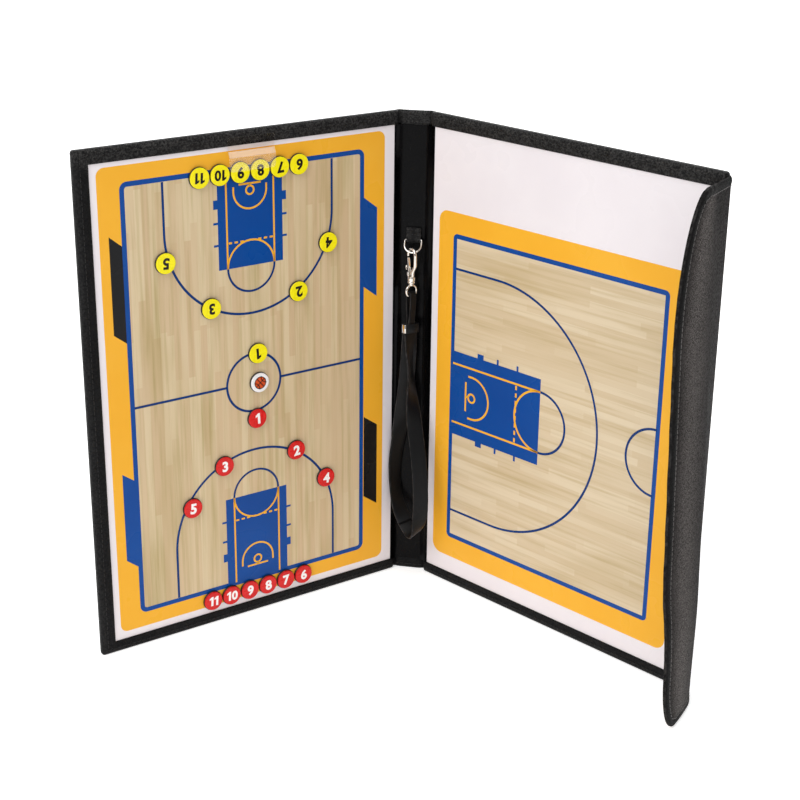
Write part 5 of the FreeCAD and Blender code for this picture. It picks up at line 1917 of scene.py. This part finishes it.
def hook_gate():
    """Thumb gate: a slim lever, shut against the beak, with a rounded knob on its outer side."""
    top = Vector((-CLAW_BOW, 0, -3.85))
    rise = (top - PIVOT).normalized()
    outward = Vector((-rise.z, 0, rise.x))
    length = (top - PIVOT).length
    half = 0.9
    edge = [(0.0, -half), (length - 0.25, -half), (length, -0.65)]
    edge += [(length, 0.65), (length - 0.25, half)]
    edge += [(5.3, half), (4.75, 1.4), (4.6, KNOB_REACH), (3.4, KNOB_REACH)]
    edge += [(3.25, 1.4), (2.7, half), (0.0, half)]
    edge += [(-math.sin(a), half * math.cos(a)) for a in half_turn(8)[1:-1]]
    levels = [(-0.85, 0.84), (-0.72, 0.96), (-0.5, 1.0), (0.5, 1.0), (0.72, 0.96), (0.85, 0.84)]
    points = []
    for depth, share in levels:
        points += [PIVOT + rise * up + outward * (out * share) + BACK * depth for up, out in edge]
    mesher = Mesher()
    mesher.add(points, capped_faces(len(levels), len(edge), flip=True))
    middle = PIVOT + rise * 4.0 + outward * KNOB_REACH
    place = Matrix.Translation(middle) @ rise.to_track_quat("Z", "Y").to_matrix().to_4x4()
    knob = [(0.08 + 0.95 * math.sin(a), -1.75 * math.cos(a)) for a in half_turn(12)]
    lathe(mesher, knob, 24, place=place)
    made = mesher.piece("thumb_gate", [NICKEL], HOOK_FRAME)
    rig.slot(made, "nickel")
    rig.ride(made, "hook_gate")
    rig.replaces(made, "hook_gate")


def gate_leaf():
    """Leaf spring behind the gate: its foot stays on the barrel, its free end follows the gate."""
    half, thin = 0.6, 0.125
    section = [(half, -thin), (half, thin), (-half, thin), (-half, -thin)]
    line = bent_path(upright(LEAF_RUN), [2.0], 6)
    end = line[-1]
    line[-1:] = [end + (line[-2] - end) * share for share in (0.75, 0.5, 0.25, 0.0)]
    mesher = Mesher()
    swept(mesher, line, section, BACK)
    made = mesher.piece("gate_leaf", [NICKEL], HOOK_FRAME)
    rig.slot(made, "nickel")
    still, led = [HOOK_FRAME @ (Vector((0, 0, z)) * MM) for z in (-15.0, -10.5)]
    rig.blend(made, "snap_hook", "hook_gate", still, led)
    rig.replaces(made, "gate_spring")


def swivel_eye():
    """Eye ring with its collar and headed stem."""
    mesher = Mesher()
    lathe(mesher, EYE_STEM, 32)
    bow, wire, middle = 3.75, 0.8, -25.25
    ring = [Vector((0, bow * math.sin(a), middle + bow * math.cos(a))) for a in full_turn(48)]
    tube(mesher, ring, [wire] * len(ring), 18, RIGHT, closed=True)
    made = mesher.piece("swivel_eye_ring", [NICKEL], EYE_FRAME)
    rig.slot(made, "nickel")
    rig.ride(made, "swivel_eye")
    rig.replaces(made, "swivel_eye")


strap_loop()
d_ring()
hook_body()
gate_pin()
hook_gate()
gate_leaf()
swivel_eye()


# Finishes of the nodes that stay in sight as they are.

NODE_FINISHES = {
    "left_core_board": PRESSED_BOARD,
    "right_core_board": PRESSED_BOARD,
    "spine_stiffener": PRESSED_BOARD,
    "left_steel_sheet": SHEET_STEEL,
    "right_steel_sheet": SHEET_STEEL,
    "left_court_board": COURT_WHITE,
    "right_court_board": COURT_WHITE,
}
for node, finish in NODE_FINISHES.items():
    mesh = frame["nodes"][node].data
    mesh.materials.clear()
    mesh.materials.append(finish)


# Floor and studio light.


def studio_floor():
    """Plain pale floor that sweeps up behind the object."""
    front, sweep, radius, head, half_width = -3000.0, 1200.0, 800.0, 4000.0, 4000.0
    profile = [(front, 0.0), (sweep, 0.0)]
    for angle in quarter_turn(12)[1:]:
        profile.append((sweep + radius * math.sin(angle), radius - radius * math.cos(angle)))
    profile.append((sweep + radius, head))
    points = []
    for back, level in profile:
        points += [(-half_width, back, level), (half_width, back, level)]
    mesher = Mesher()
    mesher.add(points, grid_faces(len(profile), 2))
    glow = {"Roughness": 0.9, "Emission Color": WHITE, "Emission Strength": 0.5}
    material, tree, sockets = new_finish("studio_paper", glow)
    paper = group_node(tree, INK_PRINT, {"Ink": srgb(252, 252, 252), "Shade": srgb(250, 250, 250)})
    plug(tree, paper["Color"], sockets["Base Color"])
    floor = mesher.piece("studio_floor", [material])
    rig.stage(floor)


def soft_light(name, place, aim, power, width):
    """Large soft lamp aimed at a point."""
    data = bpy.data.lights.new(name, "AREA")
    data.shape = "SQUARE"
    data.size = width
    data.energy = power
    lamp = bpy.data.objects.new(name, data)
    bpy.context.scene.collection.objects.link(lamp)
    lamp.location = place
    lamp.rotation_euler = (Vector(aim) - Vector(place)).to_track_quat("-Z", "Y").to_euler()


studio_floor()
soft_light("key_light", (-0.7, -1.6, 1.6), (0, -0.1, 0.15), 22.0, 1.2)
soft_light("fill_light", (1.5, -1.1, 0.9), (0, -0.1, 0.15), 2.0, 1.4)
soft_light("head_light", (0.1, -0.2, 2.2), (0, -0.1, 0.1), 15.0, 1.6)
world = bpy.data.worlds.new("studio")
world.use_nodes = True
backdrop = world.node_tree.nodes["Background"].inputs
backdrop["Color"].default_value = WHITE
backdrop["Strength"].default_value = 0.38
bpy.context.scene.world = world
bpy.context.scene.view_settings.view_transform = "Standard"

boxes = {"cad": [list(corner) for corner in cad_box], "visual": [list(corner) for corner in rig.bounds()]}
with open("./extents.json", "w") as out:
    json.dump(boxes, out)
